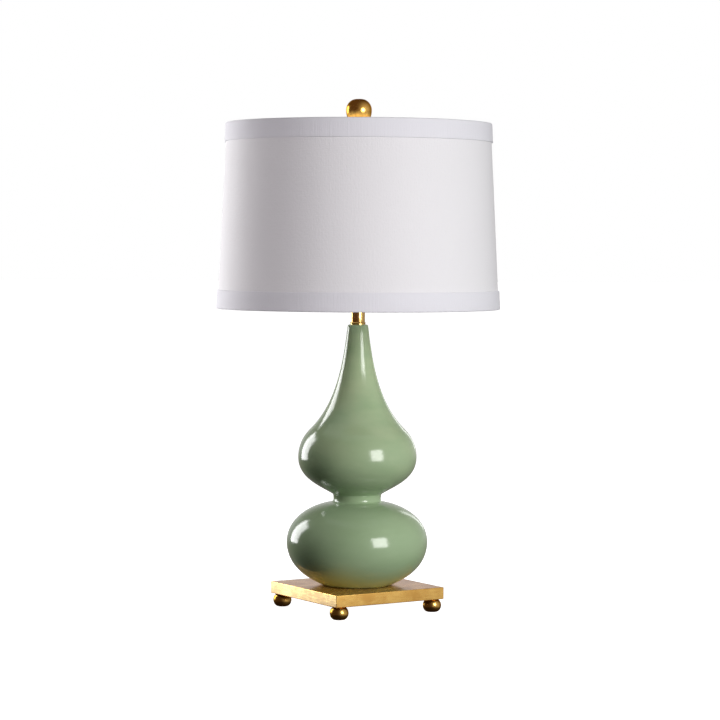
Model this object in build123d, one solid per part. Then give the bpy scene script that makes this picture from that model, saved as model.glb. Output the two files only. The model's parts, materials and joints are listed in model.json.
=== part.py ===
from build123d import *
from math import cos, hypot, radians, sin, tan
import os

# Table lamp: a double-gourd ceramic body on a gilded square plate with four ball feet,
# under a hard-back drum shade carried by a harp. Millimetres, +Z up. The origin is on the
# table under the lamp's axis, and X and Y run along the sides of the base plate.
# Each sub-part is written to parts/NAME.step.

# --- feet and base plate -------------------------------------------------------------
foot_radius = 12.5
foot_height = 17.6
foot_flat_radius = 5.5
foot_inset = 11.5          # from each side of the plate to the foot's axis
foot_screw_radius = 2.0
foot_screw_length = 20.0   # half in the foot, half in the plate
foot_screw_taper = 3.0
foot_screw_point_radius = 0.6
hole_spare = 0.5           # of a blind hole beyond the screw or shaft that sits in it
plate_side = 170.6
plate_thickness = 16.0
plate_edge_round = 0.8
nut_recess_radius = 17.0
nut_recess_depth = 7.0

# --- ceramic body: an outline of (radius, height above the plate) ---------------------
body_contact_radius = 45.2   # where the body stands on the plate
body_contact_slope = 20.0    # degrees above the plate
lower_bulb_radius = 95.6
lower_bulb_height = 58.4     # height of its widest ring
waist_radius = 32.2
waist_height = 117.0
waist_below_height = 4.6     # from the narrowest ring down to the lower bulb
waist_below_flare = 4.4
waist_above_height = 6.8     # from the narrowest ring up to the upper bulb
waist_above_flare = 1.3
waist_below_slope = 8.4      # degrees, of the lower bulb's top beside the waist
waist_above_slope = 32.7     # degrees, of the upper bulb's underside beside the waist
upper_bulb_radius = 80.5
upper_bulb_height = 173.9
shoulder_round = 52.3
shoulder_turn = 45.3         # degrees of shoulder before the neck's hollow curve
body_height = 353.7
body_top_radius = 14.0
body_top_slope = 6.0         # degrees from upright
body_top_round = 2.4
body_wall = 5.5
body_floor = 8.0
foot_ring_width = 7.0
foot_ring_depth = 2.0
body_floor_hole_radius = 9.0

# --- hollow threaded rod and what is stacked on it ------------------------------------
rod_radius = 4.85
rod_bore_radius = 3.4
rod_tail = 5.5               # below the nut
rod_top_gap = 0.5            # below the top of the socket's neck
thread_clearance = 0.05
slip_clearance = 0.25
washer_radius = 14.0
washer_thickness = 1.5
lock_washer_radius = 8.2
lock_washer_thickness = 1.6
lock_washer_gap = 1.2
lock_washer_slant = 30.0     # degrees, of its cut
nut_across_flats = 14.3
nut_thickness = 5.0
nut_corner_bevel = 0.7
bushing_radius = 6.8
bushing_grip = 5.0
bushing_lip = 2.0
bushing_hole_radius = 3.2
check_ring_radius = 10.45
check_ring_height = 3.4
check_ring_seat_radius = 9.8
check_ring_seat_height = 0.7
neck_tube_radius = 9.5
neck_tube_wall = 1.0
neck_tube_height = 25.0

# --- harp -----------------------------------------------------------------------------
saddle_width = 12.7
saddle_middle_length = 28.0  # of its widest part
saddle_thickness = 1.2
saddle_post_height = 11.0
saddle_post_wall = 1.3
harp_leg_offset = 29.0       # from the lamp's axis to each leg
harp_wire_radius = 1.9
harp_height = 228.6          # from under the saddle to the top of the wire
harp_leg_straight = 46.0     # heights of the bow's corners above the saddle
harp_bow_bottom = 82.0
harp_bow_top = 160.0
harp_bow_offset = 55.0       # and their distances from the axis
harp_shoulder_offset = 34.0
harp_wire_gap = 0.3          # between a leg and the saddle's channel
eyelet_radius = 6.5
eyelet_proud = 0.1           # above and below the wire
eyelet_hole_radius = 2.5
sleeve_wall = 1.2
sleeve_gap = 0.3             # round the leg and the post
sleeve_headroom = 0.5        # above the post
sleeve_seat_gap = 0.2        # above the saddle
sleeve_taper_height = 2.5
stud_radius = 3.15
stud_length = 12.0           # above its flange
stud_point_bevel = 0.6
stud_flange_radius = 8.0
stud_flange_thickness = 1.6
stud_head_radius = 4.0
stud_head_thickness = 1.2
swivel_clearance = 0.08

# --- socket and switch ----------------------------------------------------------------
socket_neck_radius = 7.5
socket_neck_height = 7.0
socket_cap_radius = 17.2
socket_cap_dome_height = 10.0
socket_cap_height = 22.0
socket_cap_wall = 0.8
socket_shell_height = 57.0   # top of the shell above the saddle
socket_shell_wall = 0.6
socket_fit = 0.1
socket_liner_wall = 0.7
socket_overlap = 5.0         # of the shell in the cap
core_height = 14.0
core_lift = 2.0              # above the shell's lower edge
core_gap = 0.3
liner_inset = 1.0            # from each end of the shell
screw_shell_radius = 14.0
screw_shell_wall = 0.4
screw_shell_height = 21.0
terminal_head_radius = 3.0
terminal_head_thickness = 1.8
terminal_shank_radius = 1.5
terminal_shank_length = 5.0
terminal_flat_depth = 2.8    # from the core's side
terminal_slot_width = 0.8
terminal_slot_depth = 0.6
contact_width = 6.0
contact_thickness = 0.5
contact_rise = 3.0
contact_foot_reach = 8.0     # from the axis to the foot's end
contact_bend_reach = 4.5     # and to where it leaves the core
contact_pad_reach = 3.0      # each way from the axis
switch_height = 26.0         # the shaft's axis above the saddle
switch_shaft_radius = 2.4
switch_shaft_depth = 7.0     # in the core
switch_hole_clearance = 0.6
key_collar_radius = 5.5
key_collar_length = 5.0
key_collar_floor = 1.0
key_gap = 0.6                # from the cap's side to the collar
key_length = 9.0
key_width = 15.0
key_thickness = 5.0
key_edge_round = 1.5

# --- bulb -----------------------------------------------------------------------------
bulb_radius = 30.0
bulb_length = 110.0
bulb_neck_radius = 12.6
bulb_neck_height = 8.0
bulb_glass_wall = 1.0
bulb_cap_radius = 13.15
bulb_cap_height = 19.0
bulb_cap_wall = 0.5
bulb_cap_lip = 2.0           # turned in round the insulator
bulb_cap_bevel = 1.2
bulb_insulator_height = 4.2
bulb_insulator_radius = 5.5
bulb_tip_radius = 4.0
bulb_tip_height = 0.9
bulb_tip_gap = 0.25
bulb_shoulder_turn = 52.0    # degrees of the sphere below its widest ring

# --- shade ----------------------------------------------------------------------------
shade_top_radius = 178.0     # outside of the cloth at the top rim
shade_bottom_radius = 190.4
shade_height = 250.2         # from rim to rim
shade_cover_thickness = 0.6
shade_liner_thickness = 0.5
shade_wire_radius = 1.5
shade_wire_gap = 0.05        # round the rim's wire, in the trim's fold
trim_height = 25.4
trim_thickness = 1.9
trim_fold_thickness = 0.9
trim_inner_height = 12.0
trim_round = 1.6
spider_drop = 12.8           # from the top rim down to the washer's underside
spider_washer_radius = 10.5
spider_washer_thickness = 1.6
spider_wire_radius = 1.2
spider_arm_count = 3
spider_flat_length = 9.0
spider_slope_run = 24.0

# --- finial ---------------------------------------------------------------------------
finial_radius = 17.4
finial_ball_low = 16.8       # from the ball's widest ring down to its seat
finial_ball_high = 15.2
finial_top_flat = 3.4
finial_cup_radius = 7.4
finial_cup_height = 3.6
finial_stem_radius = 5.0
finial_stem_height = 6.1     # from the flange to the cup
finial_flange_radius = 6.6
finial_flange_height = 2.4
finial_bore_clearance = 0.1
finial_bore_spare = 1.0
finial_spigot_radius = 4.6
finial_spigot_length = 9.0

# --- heights, from the table up -------------------------------------------------------
plate_bottom = foot_height
plate_top = plate_bottom + plate_thickness
recess_roof = plate_bottom + nut_recess_depth
nut_bottom = recess_roof - washer_thickness - lock_washer_thickness - nut_thickness
rod_bottom = nut_bottom - rod_tail
body_top = plate_top + body_height
check_ring_top = body_top + check_ring_height
neck_tube_top = check_ring_top + neck_tube_height
saddle_top = neck_tube_top + saddle_thickness
rod_top = saddle_top + socket_neck_height - rod_top_gap
shell_bottom = saddle_top + socket_cap_height - socket_overlap
shell_top = saddle_top + socket_shell_height
core_bottom = shell_bottom + core_lift
core_top = core_bottom + core_height
bulb_bottom = core_top + contact_rise + bulb_tip_gap
harp_axis_top = neck_tube_top + harp_height - harp_wire_radius
eyelet_top = harp_axis_top + harp_wire_radius + eyelet_proud
eyelet_bottom = harp_axis_top - harp_wire_radius - eyelet_proud
spider_bottom = eyelet_top + stud_flange_thickness
finial_seat = spider_bottom + spider_washer_thickness
shade_top = spider_bottom + spider_drop
shade_bottom = shade_top - shade_height
finial_bore_depth = stud_length - spider_washer_thickness + finial_bore_spare
ball_seat = finial_seat + finial_flange_height + finial_stem_height + finial_cup_height
ball_axis = ball_seat + finial_ball_low


# --- helpers --------------------------------------------------------------------------
def turned(*edges):
    """Solid of revolution about Z from a closed outline of (radius, height) edges."""
    return revolve(Plane.XZ * make_face(Curve() + list(edges)), Axis.Z)


def turned_polygon(*points):
    """Solid of revolution about Z from a closed outline of (radius, height) corners."""
    return turned(*Polyline(*points, close=True).edges())


def ring(outer, inner, low, high):
    """Plain ring or tube about Z, from height low to height high."""
    return turned_polygon((inner, low), (outer, low), (outer, high), (inner, high))


def flattened_ball(radius, low, high, low_flat, high_flat):
    """Ball about Z with its widest ring at z = 0, eased into a flat below and above."""
    return turned(
        Line((0, -low), (low_flat, -low)),
        EllipticalCenterArc((low_flat, 0), radius - low_flat, low, 270, arc_size=90),
        EllipticalCenterArc((high_flat, 0), radius - high_flat, high, 0, arc_size=90),
        Line((high_flat, high), (0, high)),
        Line((0, high), (0, -low)),
    )


def at_height(shape, height):
    """The shape raised by a height."""
    return Pos(0, 0, height) * shape


def bend_radii(points, share=0.45):
    """The largest bends that a polyline's runs leave room for, one for each corner."""
    radii = []
    for before, corner, after in zip(points, points[1:], points[2:]):
        first = Vector(*corner) - Vector(*before)
        second = Vector(*after) - Vector(*corner)
        half_turn = radians(first.get_angle(second)) / 2
        radii.append(share * min(first.length, second.length) / tan(half_turn))
    return radii


def bent_wire(points, wire_radius):
    """Round wire through the points, with a smooth bend at each corner."""
    path = FilletPolyline(*points, radius=bend_radii(points))
    start = Plane(origin=points[0], z_dir=path % 0)
    return sweep(start * Circle(wire_radius), path=path)


def wall_radius(height, depth=0.0):
    """Radius of the shade's cloth at a height, less a depth into the wall."""
    share = (height - shade_bottom) / (shade_top - shade_bottom)
    return shade_bottom_radius + share * (shade_top_radius - shade_bottom_radius) - depth


# --- feet and base plate --------------------------------------------------------------
def foot_places():
    """Axis of each ball foot, by name."""
    reach = plate_side / 2 - foot_inset
    sides = {"left": -1, "right": 1}
    rows = {"front": -1, "back": 1}
    return {f"{row}_{side}": (x * reach, y * reach) for row, y in rows.items() for side, x in sides.items()}


def foot_screw_hole():
    """Hole for a foot screw, half in the foot and half in the plate."""
    half = foot_screw_length / 2 + hole_spare
    return ring(foot_screw_radius + thread_clearance, 0, foot_height - half, foot_height + half)


def ball_foot():
    half = foot_height / 2
    ball = flattened_ball(foot_radius, half, half, foot_flat_radius, foot_flat_radius)
    return at_height(ball, half) - foot_screw_hole()


def foot_screw():
    """Dowel screw: threaded both ways, with a point at each end."""
    half = foot_screw_length / 2
    straight = half - foot_screw_taper
    outline = [
        (0, -half),
        (foot_screw_point_radius, -half),
        (foot_screw_radius, -straight),
        (foot_screw_radius, straight),
        (foot_screw_point_radius, half),
        (0, half),
    ]
    return at_height(turned_polygon(*outline), foot_height)


def base_plate():
    plate = Box(plate_side, plate_side, plate_thickness)
    plate = at_height(fillet(plate.edges(), plate_edge_round), plate_bottom + plate_thickness / 2)
    plate -= ring(rod_radius + slip_clearance, 0, plate_bottom - 1, plate_top + 1)
    plate -= ring(nut_recess_radius, 0, plate_bottom - 1, recess_roof)
    for place in foot_places().values():
        plate -= Pos(*place) * foot_screw_hole()
    return plate


# --- ceramic body ---------------------------------------------------------------------
def eased(start, start_angle, start_pull, end, end_angle, end_pull):
    """Smooth curve that leaves start and reaches end along the given headings, in degrees."""
    def step(point, angle, pull):
        return (point[0] + pull * cos(radians(angle)), point[1] + pull * sin(radians(angle)))

    return Bezier(start, step(start, start_angle, start_pull), step(end, end_angle, -end_pull), end)


def gourd_side(inset=0.0, floor=0.0):
    """Side of the gourd from the plate to the neck, moved inwards by an inset."""
    foot = (body_contact_radius - inset * 0.7, floor)
    lower = (lower_bulb_radius - inset, lower_bulb_height)
    waist = (waist_radius - inset, waist_height)
    below = (waist[0] + waist_below_flare, waist_height - waist_below_height - inset)
    above = (waist[0] + waist_above_flare, waist_height + waist_above_height + inset)
    upper = (upper_bulb_radius - inset, upper_bulb_height)
    turn = radians(shoulder_turn)
    bend = shoulder_round - inset
    shoulder = (upper[0] - bend * (1 - cos(turn)), upper[1] + bend * sin(turn))
    top = (body_top_radius - inset, body_height)
    rise = lower[1] - floor
    fall = below[1] - lower[1]
    hang = upper[1] - above[1]
    reach = top[1] - shoulder[1]
    below_heading = 180 - waist_below_slope
    return [
        eased(foot, body_contact_slope, 0.42 * rise, lower, 90, 0.55 * rise),
        eased(lower, 90, 0.60 * fall, below, below_heading, 0.49 * fall),
        eased(below, below_heading, 0.6 * waist_below_flare, waist, 90, 0.55 * (waist[1] - below[1])),
        eased(waist, 90, 0.55 * (above[1] - waist[1]), above, waist_above_slope, 0.7 * waist_above_flare),
        eased(above, waist_above_slope, 0.39 * hang, upper, 90, 0.59 * hang),
        CenterArc((upper[0] - bend, upper[1]), bend, 0, shoulder_turn),
        eased(shoulder, 90 + shoulder_turn, 0.33 * reach, top, 90 + body_top_slope, 0.42 * reach),
    ]


def ceramic_body():
    """Hollow double gourd on an unglazed foot ring, open at the top and the floor."""
    outer = gourd_side()
    inner = gourd_side(body_wall, body_floor)
    ring_inside = body_contact_radius - foot_ring_width
    hole = body_floor_hole_radius
    shell = turned(
        *outer,
        Line(outer[-1] @ 1, inner[-1] @ 1),
        *inner,
        *Polyline(
            inner[0] @ 0,
            (hole, body_floor),
            (hole, foot_ring_depth),
            (ring_inside, foot_ring_depth),
            (ring_inside, 0),
            outer[0] @ 0,
        ).edges(),
    )
    rim = shell.edges().filter_by(GeomType.CIRCLE).group_by(Axis.Z)[-1].sort_by(SortBy.RADIUS)[-1]
    return at_height(fillet(rim, body_top_round), plate_top)


# --- what is stacked on the rod -------------------------------------------------------
def threaded_rod():
    return ring(rod_radius, rod_bore_radius, rod_bottom, rod_top)


def rod_washer():
    return ring(washer_radius, rod_radius + slip_clearance, recess_roof - washer_thickness, recess_roof)


def rod_lock_washer():
    """Spring washer with a slanting cut."""
    high = recess_roof - washer_thickness
    low = high - lock_washer_thickness
    inner = rod_radius + slip_clearance
    cut = Box(lock_washer_radius * 2, lock_washer_gap, lock_washer_thickness * 3)
    cut = Pos(lock_washer_radius, 0, (low + high) / 2) * Rot(lock_washer_slant, 0, 0) * cut
    return ring(lock_washer_radius, inner, low, high) - cut


def rod_nut():
    across_corners = nut_across_flats / cos(radians(30))
    blank = extrude(RegularPolygon(across_corners / 2, 6), nut_thickness)
    chamfered = turned_polygon(
        (0, 0),
        (nut_across_flats / 2, 0),
        (across_corners / 2, nut_corner_bevel),
        (across_corners / 2, nut_thickness - nut_corner_bevel),
        (nut_across_flats / 2, nut_thickness),
        (0, nut_thickness),
    )
    nut = (blank & chamfered) - ring(rod_radius + thread_clearance, 0, -1, nut_thickness + 1)
    return at_height(nut, nut_bottom)


def cord_bushing():
    """Cap on the rod's lower end whose rounded lip keeps the cord off the metal."""
    socket = rod_radius + thread_clearance
    low = rod_bottom - bushing_lip
    high = rod_bottom + bushing_grip
    cap = turned_polygon(
        (bushing_hole_radius, low),
        (bushing_radius, low),
        (bushing_radius, high),
        (socket, high),
        (socket, rod_bottom),
        (bushing_hole_radius, rod_bottom),
    )
    outside = cap.edges().filter_by(GeomType.CIRCLE).group_by(Axis.Z)[0].sort_by(SortBy.RADIUS)[-1]
    return fillet(outside, bushing_lip * 0.6)


def check_ring():
    """Brass seat on the mouth of the ceramic, with a rounded bead."""
    inner = rod_radius + slip_clearance
    seat = check_ring_seat_radius
    low, high = (seat, body_top + check_ring_seat_height), (seat, check_ring_top)
    widest = (check_ring_radius, (low[1] + high[1]) / 2)
    return turned(
        Line((inner, body_top), (seat, body_top)),
        Line((seat, body_top), low),
        ThreePointArc(low, widest, high),
        Line(high, (inner, check_ring_top)),
        Line((inner, check_ring_top), (inner, body_top)),
    )


def neck_tube():
    return ring(neck_tube_radius, neck_tube_radius - neck_tube_wall, check_ring_top, neck_tube_top)


# --- harp -----------------------------------------------------------------------------
def channel_radius():
    """Inside radius of the saddle's channel round a harp leg."""
    return harp_wire_radius + harp_wire_gap


def harp_saddle():
    """Pressed strip with a half-round post at each end that the harp's legs stand in."""
    end_radius = channel_radius() + saddle_post_wall
    strip = extrude(SlotCenterToCenter(2 * harp_leg_offset, 2 * end_radius), -saddle_thickness)
    strip += extrude(SlotOverall(saddle_middle_length, saddle_width), -saddle_thickness)
    saddle = strip - ring(rod_radius + slip_clearance, 0, -saddle_thickness - 1, 1)
    for side in (-1, 1):
        post = ring(end_radius, channel_radius(), 0, saddle_post_height)
        inner_half = Pos(-side * end_radius, 0, saddle_post_height / 2) * Box(
            2 * end_radius, 3 * end_radius, 2 * saddle_post_height
        )
        saddle += Pos(side * harp_leg_offset, 0, 0) * (post - inner_half)
    return at_height(saddle, saddle_top)


def harp_bow():
    """Wire bow in the XZ plane with a flattened eyelet at its top."""
    half = [
        (harp_leg_offset, saddle_top),
        (harp_leg_offset, saddle_top + harp_leg_straight),
        (harp_bow_offset, saddle_top + harp_bow_bottom),
        (harp_bow_offset, saddle_top + harp_bow_top),
        (harp_shoulder_offset, harp_axis_top),
    ]
    right = [(x, 0, z) for x, z in half]
    left = [(-x, 0, z) for x, z in reversed(half)]
    bow = bent_wire(right + left, harp_wire_radius)
    bow += ring(eyelet_radius, 0, eyelet_bottom, eyelet_top)
    return bow - ring(eyelet_hole_radius, 0, eyelet_bottom - 1, eyelet_top + 1)


def harp_sleeve(side):
    """Ferrule that drops over a leg and its post, and slides up to free them."""
    inside = channel_radius() + saddle_post_wall + sleeve_gap
    outside = inside + sleeve_wall
    collar = harp_wire_radius + sleeve_gap
    low = saddle_top + sleeve_seat_gap
    taper = saddle_top + saddle_post_height + sleeve_headroom + sleeve_wall
    high = taper + sleeve_taper_height
    sleeve = turned_polygon(
        (inside, low),
        (outside, low),
        (outside, taper),
        (collar + sleeve_wall, high),
        (collar, high),
        (collar, high - sleeve_wall),
        (inside, taper - sleeve_wall),
    )
    return Pos(side * harp_leg_offset, 0, 0) * sleeve


def harp_stud():
    """Riveted stud that turns in the eyelet, with a flange for the shade's washer."""
    shank = eyelet_hole_radius - swivel_clearance
    head_top = eyelet_bottom - swivel_clearance
    tip = spider_bottom + stud_length
    return turned_polygon(
        (0, head_top - stud_head_thickness),
        (stud_head_radius, head_top - stud_head_thickness),
        (stud_head_radius, head_top),
        (shank, head_top),
        (shank, eyelet_top),
        (stud_flange_radius, eyelet_top),
        (stud_flange_radius, spider_bottom),
        (stud_radius, spider_bottom),
        (stud_radius, tip - stud_point_bevel),
        (stud_radius - stud_point_bevel, tip),
        (0, tip),
    )


# --- socket and switch ----------------------------------------------------------------
def shell_radius():
    """Outside radius of the socket's shell, which slips inside the cap's mouth."""
    return socket_cap_radius - socket_cap_wall - socket_fit


def liner_radius():
    return shell_radius() - socket_shell_wall


def core_radius():
    return liner_radius() - socket_liner_wall - core_gap


def on_switch_axis(shape):
    """A shape made about +Z, turned to point along -Y on the switch's axis."""
    return Pos(0, 0, saddle_top + switch_height) * Rot(90, 0, 0) * shape


def switch_hole():
    """What the shell and its liner leave open for the switch's shaft."""
    return on_switch_axis(ring(switch_shaft_radius + switch_hole_clearance, 0, 0, 2 * socket_cap_radius))


def socket_cap():
    bore = rod_radius + thread_clearance
    neck, wall = socket_neck_radius, socket_cap_wall
    dome = socket_cap_dome_height
    start, end = (neck, socket_neck_height - wall), (socket_cap_radius, socket_neck_height + dome)
    inside = (socket_cap_radius - wall, socket_neck_height + dome)
    cap = turned(
        Line((bore, 0), (neck, 0)),
        Line((neck, 0), start),
        eased(start, 10, 0.7 * dome, end, 90, 0.6 * dome),
        Line(end, (end[0], socket_cap_height)),
        Line((end[0], socket_cap_height), (inside[0], socket_cap_height)),
        Line((inside[0], socket_cap_height), inside),
        eased(inside, 270, 0.6 * dome, (neck, socket_neck_height), 190, 0.7 * dome - wall),
        Line((neck, socket_neck_height), (bore, socket_neck_height)),
        Line((bore, socket_neck_height), (bore, 0)),
    )
    return at_height(cap, saddle_top)


def socket_shell():
    return ring(shell_radius(), liner_radius(), shell_bottom, shell_top) - switch_hole()


def socket_liner():
    """Insulating sleeve between the shell and the live parts."""
    low, high = shell_bottom + liner_inset, shell_top - liner_inset
    return ring(liner_radius(), liner_radius() - socket_liner_wall, low, high) - switch_hole()


def terminal_places():
    """The two terminals' axes, as places that turn +Z outwards along -X and +X."""
    middle = Pos(0, 0, (core_bottom + core_top) / 2)
    return [middle * Rot(0, side * 90, 0) for side in (-1, 1)]


def terminal_flat():
    """Distance from the axis to the flats that the terminal screws bear on."""
    return core_radius() - terminal_flat_depth


def socket_core():
    """Moulded switch block with a flat and a bore for each terminal screw."""
    flat, far = terminal_flat(), 2 * core_radius()
    shaft_end = core_radius() - switch_shaft_depth - hole_spare
    recess = Pos(0, 0, flat + far / 2) * Box(2.8 * terminal_head_radius, 4 * terminal_head_radius, far)
    bore = ring(terminal_shank_radius + thread_clearance, 0, flat - terminal_shank_length - hole_spare, far)
    core = ring(core_radius(), 0, core_bottom, core_top)
    for place in terminal_places():
        core -= place * (recess + bore)
    return core - on_switch_axis(ring(switch_shaft_radius + thread_clearance, 0, shaft_end, far))


def terminal_screws():
    """Two slotted screws that hold the supply wires."""
    flat = terminal_flat()
    screw = ring(terminal_shank_radius, 0, flat - terminal_shank_length, flat)
    head = ring(terminal_head_radius, 0, flat, flat + terminal_head_thickness)
    slot = Box(terminal_slot_width, 3 * terminal_head_radius, 2 * terminal_slot_depth)
    screw += head - Pos(0, 0, flat + terminal_head_thickness) * slot
    return [place * screw for place in terminal_places()]


def screw_shell():
    """Metal shell that takes the bulb's thread, standing on the core."""
    inner = screw_shell_radius - screw_shell_wall
    return ring(screw_shell_radius, inner, core_top, core_top + screw_shell_height)


def centre_contact():
    """Spring tongue: a foot on the core, a slope, and a pad under the bulb's tip."""
    rise, thick = contact_rise, contact_thickness
    foot, bend, pad = contact_foot_reach, contact_bend_reach, contact_pad_reach
    line = [(-foot, 0), (-bend, 0), (-pad, rise - thick), (pad, rise - thick)]
    outline = line + [(x, z + thick) for x, z in reversed(line)]
    tongue = extrude(Plane.YZ * make_face(Polyline(*outline, close=True).edges()), contact_width / 2, both=True)
    return at_height(tongue, core_top)


def switch_shaft():
    shaft_end = socket_cap_radius + key_gap + key_collar_length - key_collar_floor
    return on_switch_axis(ring(switch_shaft_radius, 0, core_radius() - switch_shaft_depth, shaft_end))


def switch_key():
    """Turn key: a collar over the shaft's end and a flat oval grip."""
    start = socket_cap_radius + key_gap
    floor = start + key_collar_length - key_collar_floor
    collar = ring(key_collar_radius, 0, start, start + key_collar_length)
    grip = extrude(Plane.XZ * Ellipse(key_width / 2, key_length / 2), key_thickness / 2, both=True)
    grip = at_height(fillet(grip.edges(), key_edge_round), floor + key_length / 2)
    return on_switch_axis(collar + grip - ring(switch_shaft_radius, 0, start - 1, floor))


# --- bulb -----------------------------------------------------------------------------
def bulb_levels():
    """Heights of the bulb's insulator, metal cap, glass neck and top."""
    insulator = bulb_bottom + bulb_tip_height
    cap = insulator + bulb_insulator_height
    return insulator, cap, cap + bulb_cap_height, bulb_bottom + bulb_length


def glass_outline(inset=0.0):
    """Edges of the pear-shaped envelope from its neck to its crown, moved inwards by an inset."""
    low, crown = bulb_levels()[2:]
    radius, neck = bulb_radius - inset, bulb_neck_radius - inset
    centre, neck_top = crown - bulb_radius, low + bulb_neck_height
    turn = radians(bulb_shoulder_turn)
    join = (radius * cos(turn), centre - radius * sin(turn))
    rise = join[1] - neck_top
    return [
        Line((neck, low), (neck, neck_top)),
        eased((neck, neck_top), 90, 0.55 * rise, join, 90 - bulb_shoulder_turn, 0.45 * rise),
        ThreePointArc(join, (radius, centre), (0, centre + radius)),
    ]


def bulb_glass():
    outer, inner = glass_outline(), glass_outline(bulb_glass_wall)
    return turned(
        *outer,
        Line(outer[-1] @ 1, inner[-1] @ 1),
        *inner,
        Line(inner[0] @ 0, outer[0] @ 0),
    )


def bulb_cap():
    """Metal screw cap, turned in at the insulator and at the glass."""
    low, high = bulb_levels()[1:3]
    inner = bulb_cap_radius - bulb_cap_wall
    rim = bulb_neck_radius - bulb_glass_wall
    return turned_polygon(
        (insulator_edge(), low),
        (bulb_cap_radius - bulb_cap_bevel, low),
        (bulb_cap_radius, low + bulb_cap_bevel),
        (bulb_cap_radius, high),
        (rim, high),
        (rim, high - bulb_cap_wall),
        (inner, high - bulb_cap_wall),
        (inner, low + bulb_cap_bevel + bulb_cap_wall),
        (insulator_edge(), low + bulb_cap_wall),
    )


def insulator_edge():
    """Radius where the cap's lip grips the insulator."""
    return bulb_cap_radius - bulb_cap_wall - bulb_cap_lip


def bulb_insulator():
    low, high = bulb_levels()[:2]
    edge, top = insulator_edge(), high + bulb_cap_wall
    return turned_polygon((0, low), (bulb_insulator_radius, low), (edge, high), (edge, top), (0, top))


def bulb_tip():
    """Rounded solder contact under the insulator."""
    low, high = bulb_bottom, bulb_bottom + bulb_tip_height
    tip = ring(bulb_tip_radius, 0, low, high)
    edge = tip.edges().filter_by(GeomType.CIRCLE).group_by(Axis.Z)[0]
    return fillet(edge, bulb_tip_height * 0.6)


# --- shade ----------------------------------------------------------------------------
def wall_ends():
    """Lower and upper end of the shade's wall, inside the folds of the trim."""
    return shade_bottom + trim_fold_thickness, shade_top - trim_fold_thickness


def wall_band(outside, inside):
    """Cone-shaped band between two depths in the shade's wall."""
    low, high = wall_ends()
    return turned_polygon(
        (wall_radius(low, inside), low),
        (wall_radius(low, outside), low),
        (wall_radius(high, outside), high),
        (wall_radius(high, inside), high),
    )


def shade_cover():
    return wall_band(0, shade_cover_thickness)


def shade_liner():
    return wall_band(shade_cover_thickness, shade_cover_thickness + shade_liner_thickness)


def ring_place(rim, inwards):
    """Centre of a rim's wire in section: against the liner and the trim's fold."""
    height = rim + inwards * (trim_fold_thickness + shade_wire_gap + shade_wire_radius)
    depth = shade_cover_thickness + shade_liner_thickness
    tilt = hypot(1, (shade_bottom_radius - shade_top_radius) / shade_height)
    return wall_radius(height, depth) - shade_wire_radius * tilt - shade_wire_gap, height


def shade_ring(rim, inwards):
    radius, height = ring_place(rim, inwards)
    return at_height(Torus(radius, shade_wire_radius), height)


def shade_trim(rim, inwards):
    """Band of folded cloth over a rim: a deep leg outside, a fold, a short leg inside."""
    wire_radius, wire_height = ring_place(rim, inwards)
    fold = rim + inwards * trim_fold_thickness
    outer_end = rim + inwards * trim_height
    inner_end = rim + inwards * trim_inner_height
    past_wire = wire_height + inwards * (shade_wire_radius + shade_wire_gap)
    depth = shade_cover_thickness + shade_liner_thickness
    core_side = wire_radius - shade_wire_radius - shade_wire_gap
    inner_side = core_side - trim_fold_thickness
    band = make_face(
        Polyline(
            (wall_radius(outer_end), outer_end),
            (wall_radius(outer_end, -trim_thickness), outer_end),
            (wall_radius(rim, -trim_thickness), rim),
            (inner_side, rim),
            (inner_side, past_wire),
            (wall_radius(inner_end, depth + trim_fold_thickness), inner_end),
            (wall_radius(inner_end, depth), inner_end),
            (wall_radius(past_wire, depth), past_wire),
            (core_side, past_wire),
            (core_side, fold),
            (wall_radius(fold), fold),
            close=True,
        ).edges()
    )
    across = band.vertices().sort_by(Axis.X)
    on_rim = [v for v in across if abs(v.Y - rim) < 1e-6]
    band = fillet(on_rim[-1], trim_round)
    on_rim = [v for v in band.vertices().sort_by(Axis.X) if abs(v.Y - rim) < 1e-6]
    band = fillet(on_rim[0], trim_fold_thickness)
    free_edge = wall_radius(outer_end, -trim_thickness)
    corner = [v for v in band.vertices() if abs(v.X - free_edge) < 1e-6 and abs(v.Y - outer_end) < 1e-6]
    band = fillet(corner, trim_thickness * 0.4)
    return revolve(Plane.XZ * band, Axis.Z)


def spider_washer():
    hole = stud_radius + slip_clearance
    return ring(spider_washer_radius, hole, spider_bottom, spider_bottom + spider_washer_thickness)


def arm_turns():
    """Where each of the spider's arms stands, evenly round the axis."""
    return [Rot(0, 0, 90 + n * 360 / spider_arm_count) for n in range(spider_arm_count)]


def shade_top_trim():
    """The top trim, with a hole through its inside leg for each of the spider's arms."""
    ring_radius, ring_height = ring_place(shade_top, -1)
    hole = ring(spider_wire_radius + slip_clearance, 0, ring_radius - trim_inner_height, ring_radius)
    trim = shade_trim(shade_top, -1)
    for turn in arm_turns():
        trim -= turn * Pos(0, 0, ring_height) * Rot(0, 90, 0) * hole
    return trim


def spider_arms():
    """Wires from the washer up to the top ring, cut to butt against both."""
    ring_radius, ring_height = ring_place(shade_top, -1)
    low = spider_bottom + spider_washer_thickness / 2
    dip = spider_washer_radius + spider_flat_length
    points = [
        (spider_washer_radius - 1, 0, low),
        (dip, 0, low),
        (dip + spider_slope_run, 0, ring_height),
        (ring_radius - 0.5 * shade_wire_radius, 0, ring_height),
    ]
    arm = bent_wire(points, spider_wire_radius) - spider_washer() - shade_ring(shade_top, -1)
    arm = arm.solids().sort_by(SortBy.VOLUME)[-1]
    return [turn * arm for turn in arm_turns()]


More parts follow.
